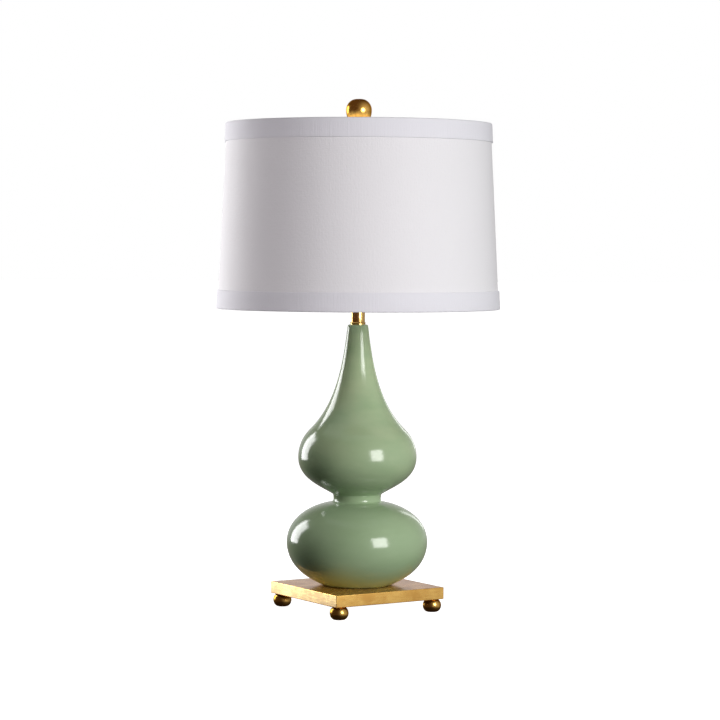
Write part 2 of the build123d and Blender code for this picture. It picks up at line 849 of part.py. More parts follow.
# --- finial ---------------------------------------------------------------------------
def finial_base():
    """Brass insert: a flange on the washer, a stem, a cup and a spigot in the ball."""
    bore = stud_radius + finial_bore_clearance
    flange_top = finial_seat + finial_flange_height
    cup_low = ball_seat - finial_cup_height
    blank = turned_polygon(
        (0, finial_seat),
        (finial_flange_radius, finial_seat),
        (finial_flange_radius, flange_top),
        (finial_stem_radius, flange_top + 0.8),
        (finial_stem_radius, cup_low - 0.5),
        (finial_cup_radius, ball_seat - 1.0),
        (finial_cup_radius, ball_seat),
        (finial_spigot_radius, ball_seat),
        (finial_spigot_radius, ball_seat + finial_spigot_length),
        (0, ball_seat + finial_spigot_length),
    )
    return blank - ring(bore, 0, finial_seat - 1, finial_seat + finial_bore_depth)


def finial_ball():
    ball = flattened_ball(finial_radius, finial_ball_low, finial_ball_high, finial_cup_radius, finial_top_flat)
    hole = ring(
        finial_spigot_radius + thread_clearance,
        0,
        -finial_ball_low - 1,
        finial_spigot_length - finial_ball_low + 0.5,
    )
    return at_height(ball - hole, ball_axis)


# --- the lamp -------------------------------------------------------------------------
def lamp():
    """Every sub-part in its place, by node name. A list is a group of separate solids."""
    parts = {f"foot_{name}": Pos(*place) * ball_foot() for name, place in foot_places().items()}
    parts |= {
        "foot_screws": [Pos(*place) * foot_screw() for place in foot_places().values()],
        "base_plate": base_plate(),
        "ceramic_body": ceramic_body(),
        "threaded_rod": threaded_rod(),
        "rod_washer": rod_washer(),
        "rod_lock_washer": rod_lock_washer(),
        "rod_nut": rod_nut(),
        "cord_bushing": cord_bushing(),
        "check_ring": check_ring(),
        "neck_tube": neck_tube(),
        "harp_saddle": harp_saddle(),
        "socket_cap": socket_cap(),
        "socket_shell": socket_shell(),
        "socket_liner": socket_liner(),
        "socket_core": socket_core(),
        "terminal_screws": terminal_screws(),
        "screw_shell": screw_shell(),
        "centre_contact": centre_contact(),
        "switch_shaft": switch_shaft(),
        "switch_key": switch_key(),
        "bulb_glass": bulb_glass(),
        "bulb_cap": bulb_cap(),
        "bulb_insulator": bulb_insulator(),
        "bulb_tip": bulb_tip(),
        "harp_bow": harp_bow(),
        "harp_sleeve_right": harp_sleeve(1),
        "harp_sleeve_left": harp_sleeve(-1),
        "harp_stud": harp_stud(),
        "spider_washer": spider_washer(),
        "spider_arms": spider_arms(),
        "shade_top_ring": shade_ring(shade_top, -1),
        "shade_bottom_ring": shade_ring(shade_bottom, 1),
        "shade_liner": shade_liner(),
        "shade_cover": shade_cover(),
        "shade_top_trim": shade_top_trim(),
        "shade_bottom_trim": shade_trim(shade_bottom, 1),
        "finial_base": finial_base(),
        "finial_ball": finial_ball(),
    }
    return parts


def write(parts, folder="parts"):
    os.makedirs(folder, exist_ok=True)
    for name, shape in parts.items():
        solids = shape if isinstance(shape, list) else [shape]
        export_step(Compound(children=[s for shape in solids for s in shape.solids()]), f"{folder}/{name}.step")


write(lamp())
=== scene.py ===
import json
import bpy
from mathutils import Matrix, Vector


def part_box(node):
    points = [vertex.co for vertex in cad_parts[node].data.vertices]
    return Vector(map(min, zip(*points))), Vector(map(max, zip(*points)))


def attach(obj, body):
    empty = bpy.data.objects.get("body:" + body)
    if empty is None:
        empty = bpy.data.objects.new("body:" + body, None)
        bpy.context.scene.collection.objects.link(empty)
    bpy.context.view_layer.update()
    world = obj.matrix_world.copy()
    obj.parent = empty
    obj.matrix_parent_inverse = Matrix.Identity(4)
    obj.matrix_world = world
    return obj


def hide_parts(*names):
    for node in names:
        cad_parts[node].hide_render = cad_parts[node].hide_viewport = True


bl_info = {
    "name": "Double Gourd Table Lamp",
    "version": (1, 0, 0),
    "blender": (4, 5, 0),
    "location": "3D View > Sidebar > Gourd Lamp",
    "description": "Models and finishes a glazed double-gourd table lamp around its packed frame",
    "category": "Object",
}

from math import atan2, cos, degrees, hypot, pi, radians, sin, tan

import bpy
from bpy.props import FloatProperty, FloatVectorProperty, IntProperty, PointerProperty
from bpy.types import NodeSocket, Operator, Panel, PropertyGroup
from mathutils import Quaternion, Vector, noise
from mathutils.geometry import interpolate_bezier

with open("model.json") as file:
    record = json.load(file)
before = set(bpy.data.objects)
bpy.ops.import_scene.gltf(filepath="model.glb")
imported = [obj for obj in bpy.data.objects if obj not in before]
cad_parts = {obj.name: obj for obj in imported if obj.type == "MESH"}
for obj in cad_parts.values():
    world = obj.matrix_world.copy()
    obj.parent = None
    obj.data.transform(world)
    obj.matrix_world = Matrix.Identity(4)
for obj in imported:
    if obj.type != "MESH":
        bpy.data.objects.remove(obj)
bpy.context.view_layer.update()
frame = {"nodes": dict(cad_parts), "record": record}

MM = 0.001
FULL_TURN = 2 * pi
UP = Vector((0, 0, 1))
WHITE = (1.0, 1.0, 1.0)
SEAM = radians(90 + 75)       # heading of the shade's seams: past the back, clear of the spider's arms
PICTURE_SHIFT = 2.192 / 720   # sideways, as a share of the picture's width


# --- sizes and colours that a user would change ---------------------------------------
def length(name, description, millimetres):
    return FloatProperty(
        name=name, description=description, default=millimetres * MM, unit="LENGTH", precision=5
    )


def angle(name, description, turn):
    return FloatProperty(name=name, description=description, default=radians(turn), subtype="ANGLE")


def watts(name, description, default):
    return FloatProperty(name=name, description=description, default=default, unit="POWER")


def share(name, description, default):
    return FloatProperty(name=name, description=description, default=default, min=0.0, max=1.0)


def colour(name, description, default):
    return FloatVectorProperty(
        name=name, description=description, default=default, subtype="COLOR", min=0.0, max=1.0
    )


class CeramicSettings(PropertyGroup):
    contact_radius: length("Contact radius", "Where the body stands on the plate", 45.2)
    lower_radius: length("Lower bulb radius", "Widest radius of the lower bulb", 95.6)
    lower_height: length("Lower bulb height", "Height of its widest ring above the plate", 58.4)
    below_flare: length("Flare below", "How far the waist flares out below", 4.4)
    below_drop: length("Flare's drop", "How far down that flare reaches", 4.6)
    waist_radius: length("Waist radius", "Radius of the narrowest ring", 32.2)
    waist_height: length("Waist height", "Height of the narrowest ring above the plate", 117)
    above_flare: length("Flare above", "How far the waist flares out above", 1.3)
    above_rise: length("Flare's rise", "How far up that flare reaches", 6.8)
    upper_radius: length("Upper bulb radius", "Widest radius of the upper bulb", 80.5)
    upper_height: length("Upper bulb height", "Height of its widest ring above the plate", 173.9)
    shoulder_round: length("Shoulder round", "Radius of the upper bulb's shoulder", 52.3)
    shoulder_turn: angle("Shoulder turn", "How far the shoulder's arc turns", 45.3)
    mouth_radius: length("Mouth radius", "Radius of the neck at its top", 14)
    mouth_round: length("Mouth rounding", "Rounding of the mouth's outer edge", 2.4)
    wall: length("Wall", "Thickness of the ceramic", 5.5)
    floor: length("Floor", "Height of the hollow's floor above the plate", 8)
    glaze: colour("Glaze", "Colour of the glaze", (0.318, 0.430, 0.257))
    glaze_thin: colour("Thin glaze", "Where the glaze is thin, up the neck", (0.378, 0.464, 0.273))
    glaze_pool: colour("Pooled glaze", "Where the glaze runs thick", (0.279, 0.391, 0.223))


class BaseSettings(PropertyGroup):
    edge_round: length("Edge rounding", "Rounding of the plate's level edges", 0.4)
    corner_round: length("Corner rounding", "Rounding of the plate's upright edges", 0.6)
    recess_radius: length("Recess radius", "Radius of the nut's recess", 17)
    rod_hole_radius: length("Rod hole radius", "Radius of the hole for the rod", 5.1)
    foot_flat: length("Foot flat", "Radius of the flats above and below a foot", 5.5)
    leaf: colour("Gold leaf", "Colour of the leaf", (0.88, 0.545, 0.14))
    leaf_rubbed: colour("Rubbed leaf", "Leaf toned down in its low spots", (0.64, 0.345, 0.07))
    bole: colour("Bole", "Clay ground that shows at worn places", (0.26, 0.075, 0.025))
    # The feet's leaf is darker than the plate's: partly an antiqued tone, partly painted shade of the dark
    # space round and under the feet.
    foot_leaf: colour("Foot leaf", "Colour of the feet's darker leaf", (0.70, 0.42, 0.11))


class BrassSettings(PropertyGroup):
    bead_round: length("Bead", "How far the check ring's bead stands out", 0.65)
    tube_wall: length("Tube wall", "Wall of the neck tube", 1.0)
    edge_soften: length("Softened edges", "Rounding of turned edges", 0.3)
    polished: colour("Polished brass", "Colour of the polished brass", (0.87, 0.56, 0.20))
    satin: colour("Satin brass", "Colour of the satin brass", (0.78, 0.58, 0.28))


class LampholderSettings(PropertyGroup):
    neck_radius: length("Cap neck radius", "Neck of the socket's cap", 7.5)
    neck_height: length("Cap neck height", "Height of the cap's neck", 7)
    dome_height: length("Dome height", "Height of the cap's dome", 10)
    cap_wall: length("Cap wall", "Wall of the cap", 0.8)
    shell_wall: length("Shell wall", "Wall of the socket's shell", 0.6)
    bead: length("Bead", "Depth of the shell's rolled beads", 0.35)
    key_flutes: IntProperty(
        name="Key flutes", description="Grooves round the key's collar", default=18, min=6
    )
    key_dish: length("Key dish", "Depth of the hollow in each side of the key", 0.5)


class BulbSettings(PropertyGroup):
    neck_radius: length("Neck radius", "Radius of the glass at the cap", 12.6)
    neck_height: length("Neck height", "Height of the straight neck", 8)
    wall: length("Glass", "Thickness of the glass", 1.0)
    frost: colour("Frost", "Colour of the frosted coating", (0.86, 0.86, 0.83))


class ShadeSettings(PropertyGroup):
    top_radius: length("Top radius", "Outside of the cloth at the top rim", 178)
    bottom_radius: length("Bottom radius", "Outside of the cloth at the bottom rim", 190.4)
    cover_thickness: length("Cloth", "Thickness of the cover", 0.6)
    liner_thickness: length("Liner", "Thickness of the hard backing", 0.5)
    wire_radius: length("Ring wire", "Radius of the rims' wire", 1.5)
    trim_height: length("Trim height", "Height of a trim's outer leg", 25.4)
    trim_thickness: length("Trim thickness", "How far a trim stands out", 1.9)
    trim_fold: length("Fold", "Thickness of the trim's folded cloth", 0.9)
    trim_inner: length("Inner leg", "Height of a trim's inner leg", 12)
    thread_pitch: length("Thread pitch", "Distance between the cloth's threads", 0.9)
    cloth: colour("Linen", "Colour of the linen", (0.697, 0.691, 0.712))
    lining: colour("Lining", "Colour of the styrene lining", (0.88, 0.88, 0.87))


class FinialSettings(PropertyGroup):
    top_flat: length("Top flat", "Radius of the flat on the ball's crown", 3.4)
    seat_radius: length("Seat radius", "Radius of the ball's seat on its cup", 7.4)
    low_share: share("Widest ring", "Height of the ball's widest ring, as a share of its height", 0.525)
    thread_pitch: length("Thread pitch", "Pitch of the stud's thread", 0.94)
    gilt: colour("Gilding", "Colour of the ball's gilding", (0.88, 0.50, 0.12))


class StudioSettings(PropertyGroup):
    camera_turn: angle("Camera turn", "Round the lamp from its front", -32.24)
    camera_distance: length("Camera distance", "From the lamp's axis", 3417)
    camera_height: length("Camera height", "Above the table", 495.9)
    camera_tilt: angle("Camera tilt", "Downwards", 2.627)
    camera_roll: angle("Camera roll", "About its own axis", 0.269)
    camera_lens: FloatProperty(name="Lens", description="Focal length", default=126.12, unit="CAMERA")
    key_power: watts("Key power", "Power of the key light", 34.0)
    side_power: watts("Side power", "Power of the light behind the left", 22.5)
    cloth_side: watts("Side on the cloth", "Power of the shade's own side light", 54.0)
    fill_power: watts("Fill power", "Power of the shade's fill light", 17.5)
    inner_power: watts("Inner power", "Light that comes through the shade", 0.85)
    plate_power: watts("Plate power", "Power of the low light on the plate", 0.92)
    bounce_power: watts("Bounce", "Warm light off the plate's top", 0.018)
    finial_power: watts("Finial power", "Glow under the finial", 0.04)
    rim_power: watts("Rim power", "Power of the strip behind the right", 1.1)
    room: share("Room", "Brightness of the room on the camera's side", 0.02)
    backdrop: share("Backdrop", "Brightness of the room behind the lamp", 0.15)
    wall: share("Wall", "Brightness of the lit wall beside the key light", 0.58)
    mirrored_backdrop: share("Mirrored backdrop", "The backdrop, as the lamp mirrors it", 0.64)
    mirrored_wall: share("Mirrored wall", "The lit wall, as the lamp mirrors it", 0.64)
    below: share("Below", "What is left of the mirrored room far below the lamp", 0.15)
    dim: colour("Dim room", "Unlit side of the room, as the lamp mirrors it", (0.10, 0.06, 0.04))


GROUPS = {
    "lamp_ceramic": CeramicSettings,
    "lamp_base": BaseSettings,
    "lamp_brass": BrassSettings,
    "lamp_holder": LampholderSettings,
    "lamp_bulb": BulbSettings,
    "lamp_shade": ShadeSettings,
    "lamp_finial": FinialSettings,
    "lamp_studio": StudioSettings,
}


# --- outlines of (radius, height) points ----------------------------------------------
def eased(start, start_angle, start_pull, end, end_angle, end_pull, steps):
    """Smooth stretch that leaves start and reaches end along headings in degrees."""
    def handle(point, heading, pull):
        return Vector((point[0] + pull * cos(radians(heading)), point[1] + pull * sin(radians(heading)), 0))

    first, last = handle(start, start_angle, start_pull), handle(end, end_angle, -end_pull)
    bend = interpolate_bezier(Vector((*start, 0)), first, last, Vector((*end, 0)), steps + 1)
    return [(point.x, point.y) for point in bend]


def arc(centre, radius, rise, start, end, steps):
    """Stretch of a circle or ellipse between two angles in degrees."""
    turns = [radians(start + (end - start) * n / steps) for n in range(steps + 1)]
    return [(centre[0] + radius * cos(turn), centre[1] + rise * sin(turn)) for turn in turns]


def rounded(corners, steps=4):
    """Closed outline through (radius, height, rounding) corners, with an arc at each rounded one."""
    points = []
    for n, (radius, height, bend) in enumerate(corners):
        here = Vector((radius, height))
        if bend == 0:
            points.append((radius, height))
            continue
        before = (Vector(corners[n - 1][:2]) - here).normalized()
        after = (Vector(corners[(n + 1) % len(corners)][:2]) - here).normalized()
        half = before.angle(after) / 2
        centre = here + (before + after).normalized() * bend / sin(half)
        first = here + before * bend / tan(half) - centre
        last = here + after * bend / tan(half) - centre
        begin = atan2(first.y, first.x)
        turn = atan2(first.x * last.y - first.y * last.x, first.dot(last))
        for step in range(steps + 1):
            heading = begin + turn * step / steps
            points.append((centre.x + bend * cos(heading), centre.y + bend * sin(heading)))
    return points


def joined(*stretches):
    """One outline from several, without the points that they share."""
    points = []
    for stretch in stretches:
        for point in stretch:
            if not points or hypot(point[0] - points[-1][0], point[1] - points[-1][1]) > 0.01 * MM:
                points.append(point)
    return points


def rolled_bead(radius, height, width, depth, steps=8):
    """A shallow bead rolled into a wall, as a stretch of its outline going up."""
    return [
        (radius + depth * (1 - cos(FULL_TURN * n / steps)) / 2, height + width * (n / steps - 0.5))
        for n in range(steps + 1)
    ]


# --- modelling ------------------------------------------------------------------------
def only(piece):
    """Selects one object and nothing else."""
    bpy.ops.object.select_all(action="DESELECT")
    piece.select_set(True)
    bpy.context.view_layer.objects.active = piece


def start_with(add_primitive, **settings):
    """Adds a primitive with nothing else selected, and returns it."""
    bpy.ops.object.select_all(action="DESELECT")
    add_primitive(**settings)
    return bpy.context.object


def edit(on=True):
    bpy.ops.object.mode_set(mode="EDIT" if on else "OBJECT")


def edit_where(piece, kind, wanted):
    """Opens a piece for editing with only its wanted edges or faces selected."""
    edit()
    bpy.ops.mesh.select_all(action="DESELECT")
    edit(False)
    for part in getattr(piece.data, kind):
        part.select = wanted(part)
    edit()


def apply_modifier(piece, kind, **settings):
    """Gives the active piece a modifier and applies it."""
    modifier = piece.modifiers.new(kind.lower(), kind)
    for key, value in settings.items():
        setattr(modifier, key, value)
    bpy.ops.object.modifier_apply(modifier=modifier.name)


def smooth(crease=35):
    """Shades the selected piece smooth, apart from edges sharper than an angle in degrees."""
    bpy.ops.object.shade_smooth_by_angle(angle=radians(crease))


def draw_outline(name, points, closed, heading=0.0):
    """Draws an outline in the upright plane at a heading round Z, and leaves it open for editing."""
    across = Vector((cos(heading), sin(heading), 0))
    places = [across * radius + UP * height for radius, height in points]
    if closed:
        places.append(places[0])
    piece = start_with(bpy.ops.mesh.primitive_plane_add, size=MM)
    piece.name = name
    edit()
    bpy.ops.mesh.merge(type="CENTER")
    bpy.ops.transform.translate(value=places[0])
    for here, there in zip(places, places[1:]):
        bpy.ops.mesh.extrude_region_move(TRANSFORM_OT_translate={"value": there - here})
    return piece


def turned(name, points, steps, closed=True, heading=0.0):
    """A piece turned from an outline once round Z, with its seam and poles closed."""
    piece = draw_outline(name, points, closed, heading)
    bpy.ops.mesh.select_all(action="SELECT")
    bpy.ops.mesh.spin(steps=steps, angle=FULL_TURN, center=(0, 0, 0), axis=(0, 0, 1))
    bpy.ops.mesh.select_all(action="SELECT")
    bpy.ops.mesh.remove_doubles(threshold=0.005 * MM)
    bpy.ops.mesh.normals_make_consistent(inside=False)
    edit(False)
    if not piece.data.polygons:
        raise RuntimeError(f"{name} was not turned into a surface")
    only(piece)
    smooth()
    return piece


def cut(piece, cutter):
    """Takes the cutter out of the piece."""
    only(piece)
    apply_modifier(piece, "BOOLEAN", operation="DIFFERENCE", solver="EXACT", object=cutter)
    bpy.data.objects.remove(cutter)


def place_in_mesh(piece):
    """Moves the piece's place, turn and size into its mesh."""
    only(piece)
    bpy.ops.object.transform_apply(location=True, rotation=True, scale=True)


def body_of(node):
    bodies = frame["record"]["behaviour"]["bodies"]
    return next(body for body, members in bodies.items() if node in members)


def settle(piece, finish, slot, *nodes):
    """Gives a piece its finish, and puts it on the body of the nodes that it stands for."""
    piece.data.materials.clear()
    piece.data.materials.append(finish)
    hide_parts(*nodes)
    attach(piece, body_of(nodes[0]))
    return piece


def refinish(finish, *nodes):
    """Gives nodes whose shape is kept a better finish."""
    for node in nodes:
        for slot in frame["nodes"][node].material_slots:
            slot.material = finish


def low(node):
    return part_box(node)[0]


def high(node):
    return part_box(node)[1]


def wrap_cloth(piece, seam, radius):
    """Lays the piece's UV map round Z in metres of cloth, from a seam's heading."""
    mesh = piece.data
    layer = mesh.uv_layers.new(name="cloth")
    for face in mesh.polygons:
        places = [mesh.vertices[mesh.loops[corner].vertex_index].co for corner in face.loop_indices]
        turns = [(atan2(place.y, place.x) - seam) % FULL_TURN for place in places]
        if max(turns) - min(turns) > pi:
            turns = [turn + FULL_TURN if turn < pi else turn for turn in turns]
        for corner, place, turn in zip(face.loop_indices, places, turns):
            layer.data[corner].uv = (turn * radius, place.z)


def ripple(piece, depth, grain, tall):
    """Moves a cloth piece's skin in and out by a little, as hand-wrapped cloth lies."""
    for vertex in piece.data.vertices:
        place = vertex.co
        out = Vector((place.x, place.y, 0)).normalized()
        wave = noise.noise(Vector((place.x * grain, place.y * grain, place.z * tall)))
        vertex.co = place + out * wave * depth


# --- nodes of materials and of the room -----------------------------------------------
def toned(tone, amount):
    """A colour made darker or lighter by an amount."""
    return tuple(min(1.0, amount * part) for part in tone)


def new_finish(name):
    """A material, its node tree and its shader."""
    finish = bpy.data.materials.new(name)
    finish.use_nodes = True
    tree = finish.node_tree
    return finish, tree, tree.nodes["Principled BSDF"]


def feed(tree, node, inputs):
    """Sets a node's inputs to values, or joins them to other nodes' outputs."""
    for key, value in inputs.items():
        if isinstance(value, NodeSocket):
            tree.links.new(value, node.inputs[key])
        else:
            node.inputs[key].default_value = value


def add(tree, kind, inputs=None, **settings):
    """A new node with its settings and inputs."""
    made = tree.nodes.new(kind)
    for key, value in settings.items():
        setattr(made, key, value)
    feed(tree, made, inputs or {})
    return made


def in_place(tree, scale=(1, 1, 1)):
    """Object coordinates, in metres, stretched by a scale."""
    source = add(tree, "ShaderNodeTexCoord").outputs["Object"]
    return add(tree, "ShaderNodeMapping", {"Vector": source, "Scale": scale}).outputs["Vector"]


def on_cloth(tree, scale):
    """The cloth's own UV map, in metres, stretched by a scale."""
    source = add(tree, "ShaderNodeUVMap", uv_map="cloth").outputs["UV"]
    return add(tree, "ShaderNodeMapping", {"Vector": source, "Scale": (*scale, 1)}).outputs["Vector"]


def clouds(tree, vector, scale, detail=4.0, roughness=0.55, distortion=0.0):
    names = ("Vector", "Scale", "Detail", "Roughness", "Distortion")
    values = (vector, scale, detail, roughness, distortion)
    return add(tree, "ShaderNodeTexNoise", dict(zip(names, values))).outputs["Fac"]


def graded(tree, factor, *stops):
    """A colour ramp over a factor, from (position, colour) stops."""
    ramp = add(tree, "ShaderNodeValToRGB", {"Fac": factor})
    for element, (position, tone) in zip(ramp.color_ramp.elements, stops):
        element.position = position
        element.color = (*tone, 1.0)
    return ramp.outputs["Color"]


def ranged(tree, value, from_low, from_high, to_low, to_high):
    """A value moved from one range to another, and held at its ends."""
    names = ("Value", "From Min", "From Max", "To Min", "To Max")
    values = (value, from_low, from_high, to_low, to_high)
    return add(tree, "ShaderNodeMapRange", dict(zip(names, values))).outputs["Result"]


def math_node(tree, operation, first, second):
    return add(tree, "ShaderNodeMath", {0: first, 1: second}, operation=operation).outputs["Value"]


def plus(tree, first, second):
    return math_node(tree, "ADD", first, second)


def times(tree, first, second):
    return math_node(tree, "MULTIPLY", first, second)


def blended(tree, factor, first, second):
    """Two colours mixed by a factor."""
    tones = [tone if isinstance(tone, NodeSocket) else (*tone, 1.0) for tone in (first, second)]
    return add(tree, "ShaderNodeMix", {0: factor, 6: tones[0], 7: tones[1]}, data_type="RGBA").outputs[2]


def bump(tree, shader, height, distance, strength, under=None):
    """Relief from a height, over another relief if there is one."""
    inputs = {"Height": height, "Distance": distance, "Strength": strength}
    if under is not None:
        inputs["Normal"] = under
    made = add(tree, "ShaderNodeBump", inputs).outputs["Normal"]
    tree.links.new(made, shader.inputs["Normal"])
    return made


# --- materials ------------------------------------------------------------------------
def celadon(settings):
    """Glossy green glaze: soft pooling, faint throwing rings, a few pinholes."""
    finish, tree, shader = new_finish("celadon_glaze_finish")
    glaze, thin, pool = settings.glaze[:], settings.glaze_thin[:], settings.glaze_pool[:]
    pooled = clouds(tree, in_place(tree, (1, 1, 2.4)), 11.0, 3.0)
    height = add(tree, "ShaderNodeSeparateXYZ", {"Vector": in_place(tree)}).outputs["Z"]
    waist = low("ceramic_body").z + settings.waist_height
    thinned = ranged(tree, height, waist, high("ceramic_body").z - 100 * MM, 0, 1)
    run = blended(tree, thinned, glaze, thin)
    run = blended(tree, ranged(tree, pooled, 0.32, 0.66, 1, 0), run, pool)
    specks = ranged(tree, clouds(tree, in_place(tree), 900.0, 2.0), 0.70, 0.78, 0.0, 0.18)
    feed(tree, shader, {
        "Base Color": blended(tree, specks, run, pool),
        "Roughness": ranged(tree, pooled, 0.3, 0.7, 0.13, 0.17),
        "IOR": 1.53,
    })
    rings = clouds(tree, in_place(tree, (0.4, 0.4, 70)), 1.0, 2.0)
    ringed = bump(tree, shader, rings, 0.05 * MM, 0.2)
    orange_peel = clouds(tree, in_place(tree), 140.0, 2.0)
    bump(tree, shader, orange_peel, 0.01 * MM, 0.4, ringed)
    return finish


def gold_leaf(name, leaf, rubbed, bole, edge, gloss, wear, lacquer, metal):
    """Burnished leaf over clay: soft mottling, fine level streaks and a little wear."""
    finish, tree, shader = new_finish(name)
    mottle = clouds(tree, in_place(tree), 38.0, 5.0, 0.58, 0.4)
    streaks = clouds(tree, in_place(tree, (1, 1, 9)), 60.0, 4.0, 0.6)
    tone = plus(tree, times(tree, mottle, 0.6), times(tree, streaks, 0.4))
    gilded = graded(tree, tone, (0.42, rubbed), (0.58, leaf))
    worn = ranged(tree, clouds(tree, in_place(tree), 420.0, 5.0, 0.7), 0.68, 0.78, 0.0, wear)
    feed(tree, shader, {
        "Base Color": blended(tree, worn, gilded, bole),
        "Roughness": ranged(tree, tone, 0.4, 0.65, gloss + 0.06, gloss),
        "Metallic": metal,
        "Specular Tint": (*edge, 1.0),
        "Coat Weight": lacquer,
        "Coat Roughness": 0.12,
    })
    brushed = bump(tree, shader, streaks, 0.02 * MM, 0.12)
    bump(tree, shader, mottle, 0.05 * MM, 0.06, brushed)
    return finish


def mottled(name, tones, grain, span, gloss, relief=None, more=None):
    """A surface whose colour, gloss and relief all follow one grain."""
    finish, tree, shader = new_finish(name)
    marks = clouds(tree, in_place(tree), *grain)
    inputs = {
        "Base Color": graded(tree, marks, *zip(span, tones)),
        "Roughness": ranged(tree, marks, 0.3, 0.7, *gloss),
    }
    feed(tree, shader, inputs | (more or {}))
    if relief:
        depth, strength = relief
        bump(tree, shader, marks, depth * MM, strength)
    return finish


def turned_brass(name, tone, gloss, smudge, edge=WHITE):
    """Lacquered brass with faint turning lines and handling marks."""
    tones, more = (toned(tone, 0.72), tone), {"Metallic": 1.0, "Specular Tint": (*edge, 1.0)}
    finish = mottled(name, tones, (60.0, 5.0), (0.35, 0.6), (gloss + smudge, gloss), more=more)
    tree = finish.node_tree
    lines = clouds(tree, in_place(tree, (1, 1, 60)), 40.0, 3.0)
    bump(tree, tree.nodes["Principled BSDF"], lines, 0.01 * MM, 0.2)
    return finish


def plain_metal(name, tone, gloss):
    """Plated or bare steel with a fine grain."""
    tones, rough = (toned(tone, 0.7), tone), (gloss, gloss + 0.12)
    return mottled(name, tones, (700.0, 4.0), (0.3, 0.7), rough, (0.02, 0.4), {"Metallic": 1.0})


def moulding(name, tone, gloss, grain_depth=0.03):
    """Moulded plastic, board or ceramic filler with a fine skin."""
    tones, rough = (tone, toned(tone, 1.12)), (gloss, gloss + 0.1)
    return mottled(name, tones, (500.0, 4.0), (0.35, 0.7), rough, (grain_depth, 0.5))


def lining_film(settings):
    """Smooth pale styrene that backs the cloth."""
    tones = (toned(settings.lining, 0.93), settings.lining)
    return mottled("lining_finish", tones, (18.0, 2.0), (0.3, 0.7), (0.42, 0.5), (0.4, 0.3))


def frosted(settings):
    """Frosted bulb glass with a cloudy coating."""
    tones = (toned(settings.frost, 0.93), settings.frost)
    coat = {"Coat Weight": 0.4, "Coat Roughness": 0.12}
    return mottled("bulb_glass_finish", tones, (22.0, 3.0), (0.35, 0.65), (0.22, 0.3), more=coat)


def linen(name, settings, ribs):
    """Plain-woven linen with slubs along its upright threads, or the trim's ribbed cloth, which is toned a
    little darker as painted shade.
    """
    finish, tree, shader = new_finish(name)
    per_metre = 1 / settings.thread_pitch
    drift = clouds(tree, on_cloth(tree, (120, 25)), 1.0, 2.0)
    upright = clouds(tree, on_cloth(tree, (per_metre, 26)), 1.0, 3.0, 0.6)
    level = clouds(tree, on_cloth(tree, (34, per_metre)), 1.0, 3.0, 0.6)
    slubs = clouds(tree, on_cloth(tree, (380, 9)), 1.0, 4.0, 0.65)
    crinkle = clouds(tree, on_cloth(tree, (430, 210)), 1.0, 2.0, 0.5, 0.6)
    weave = math_node(tree, "MAXIMUM", times(tree, level, 1.0 - 0.45 * ribs), upright)
    drawn = plus(tree, times(tree, slubs, 0.45 + 0.6 * ribs), times(tree, crinkle, 1.1 - 0.6 * ribs))
    height = plus(tree, weave, drawn)
    shade_tone = plus(tree, height, times(tree, drift, 0.25))
    # The trims' cloth is cooler and about 4% darker than the cover's; the darkening is painted shade of the
    # trims on the lamp's shaded side.
    trim_shade_tint = (0.95, 0.955, 0.985) if ribs else WHITE
    tone = tuple(part * cast for part, cast in zip(settings.cloth, trim_shade_tint))
    feed(tree, shader, {
        "Base Color": graded(tree, shade_tone, (1.00, toned(tone, 0.975)), (1.60, tone)),
        "Roughness": 0.88,
        "Sheen Weight": 0.12,
        "Sheen Roughness": 0.5,
        "Specular IOR Level": 0.25,
    })
    bump(tree, shader, height, 0.42 * MM, 0.75)
    return finish


# --- the base -------------------------------------------------------------------------
class LAMP_OT_feet(Operator):
    """Turn one gilded ball foot and stand a copy of it under each corner of the plate"""

    bl_idname = "lamp.feet"
    bl_label = "Ball feet"

    def execute(self, context):
        settings = context.scene.lamp_base
        bottom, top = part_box("foot_front_left")
        radius, half = (top.x - bottom.x) / 2, (top.z - bottom.z) / 2
        flat = settings.foot_flat
        belly = arc((flat, half), radius - flat, half, -90, 90, 24)
        outline = joined([(0, 0), (flat, 0)], belly, [(0, 2 * half)])
        first = turned("gilded_foot", outline, 56, closed=False)
        # A darker copy of the plate's leaf: antiqued tone plus painted shade for the feet under the plate.
        leaf = gold_leaf(
            "antiqued_gilding_finish", settings.foot_leaf, toned(settings.foot_leaf, 0.6), settings.bole,
            edge=(0.45, 0.28, 0.14), gloss=0.20, wear=0.35, lacquer=0.0, metal=1.0,
        )
        for row in ("front", "back"):
            for side in ("left", "right"):
                node = f"foot_{row}_{side}"
                foot = first.copy()
                foot.data = first.data.copy()
                foot.name = f"gilded_{node}"
                context.collection.objects.link(foot)
                middle = (low(node) + high(node)) / 2
                foot.location = (middle.x, middle.y, low(node).z)
                place_in_mesh(foot)
                settle(foot, leaf, "antiqued_gilding", node)
        bpy.data.objects.remove(first)
        return {"FINISHED"}


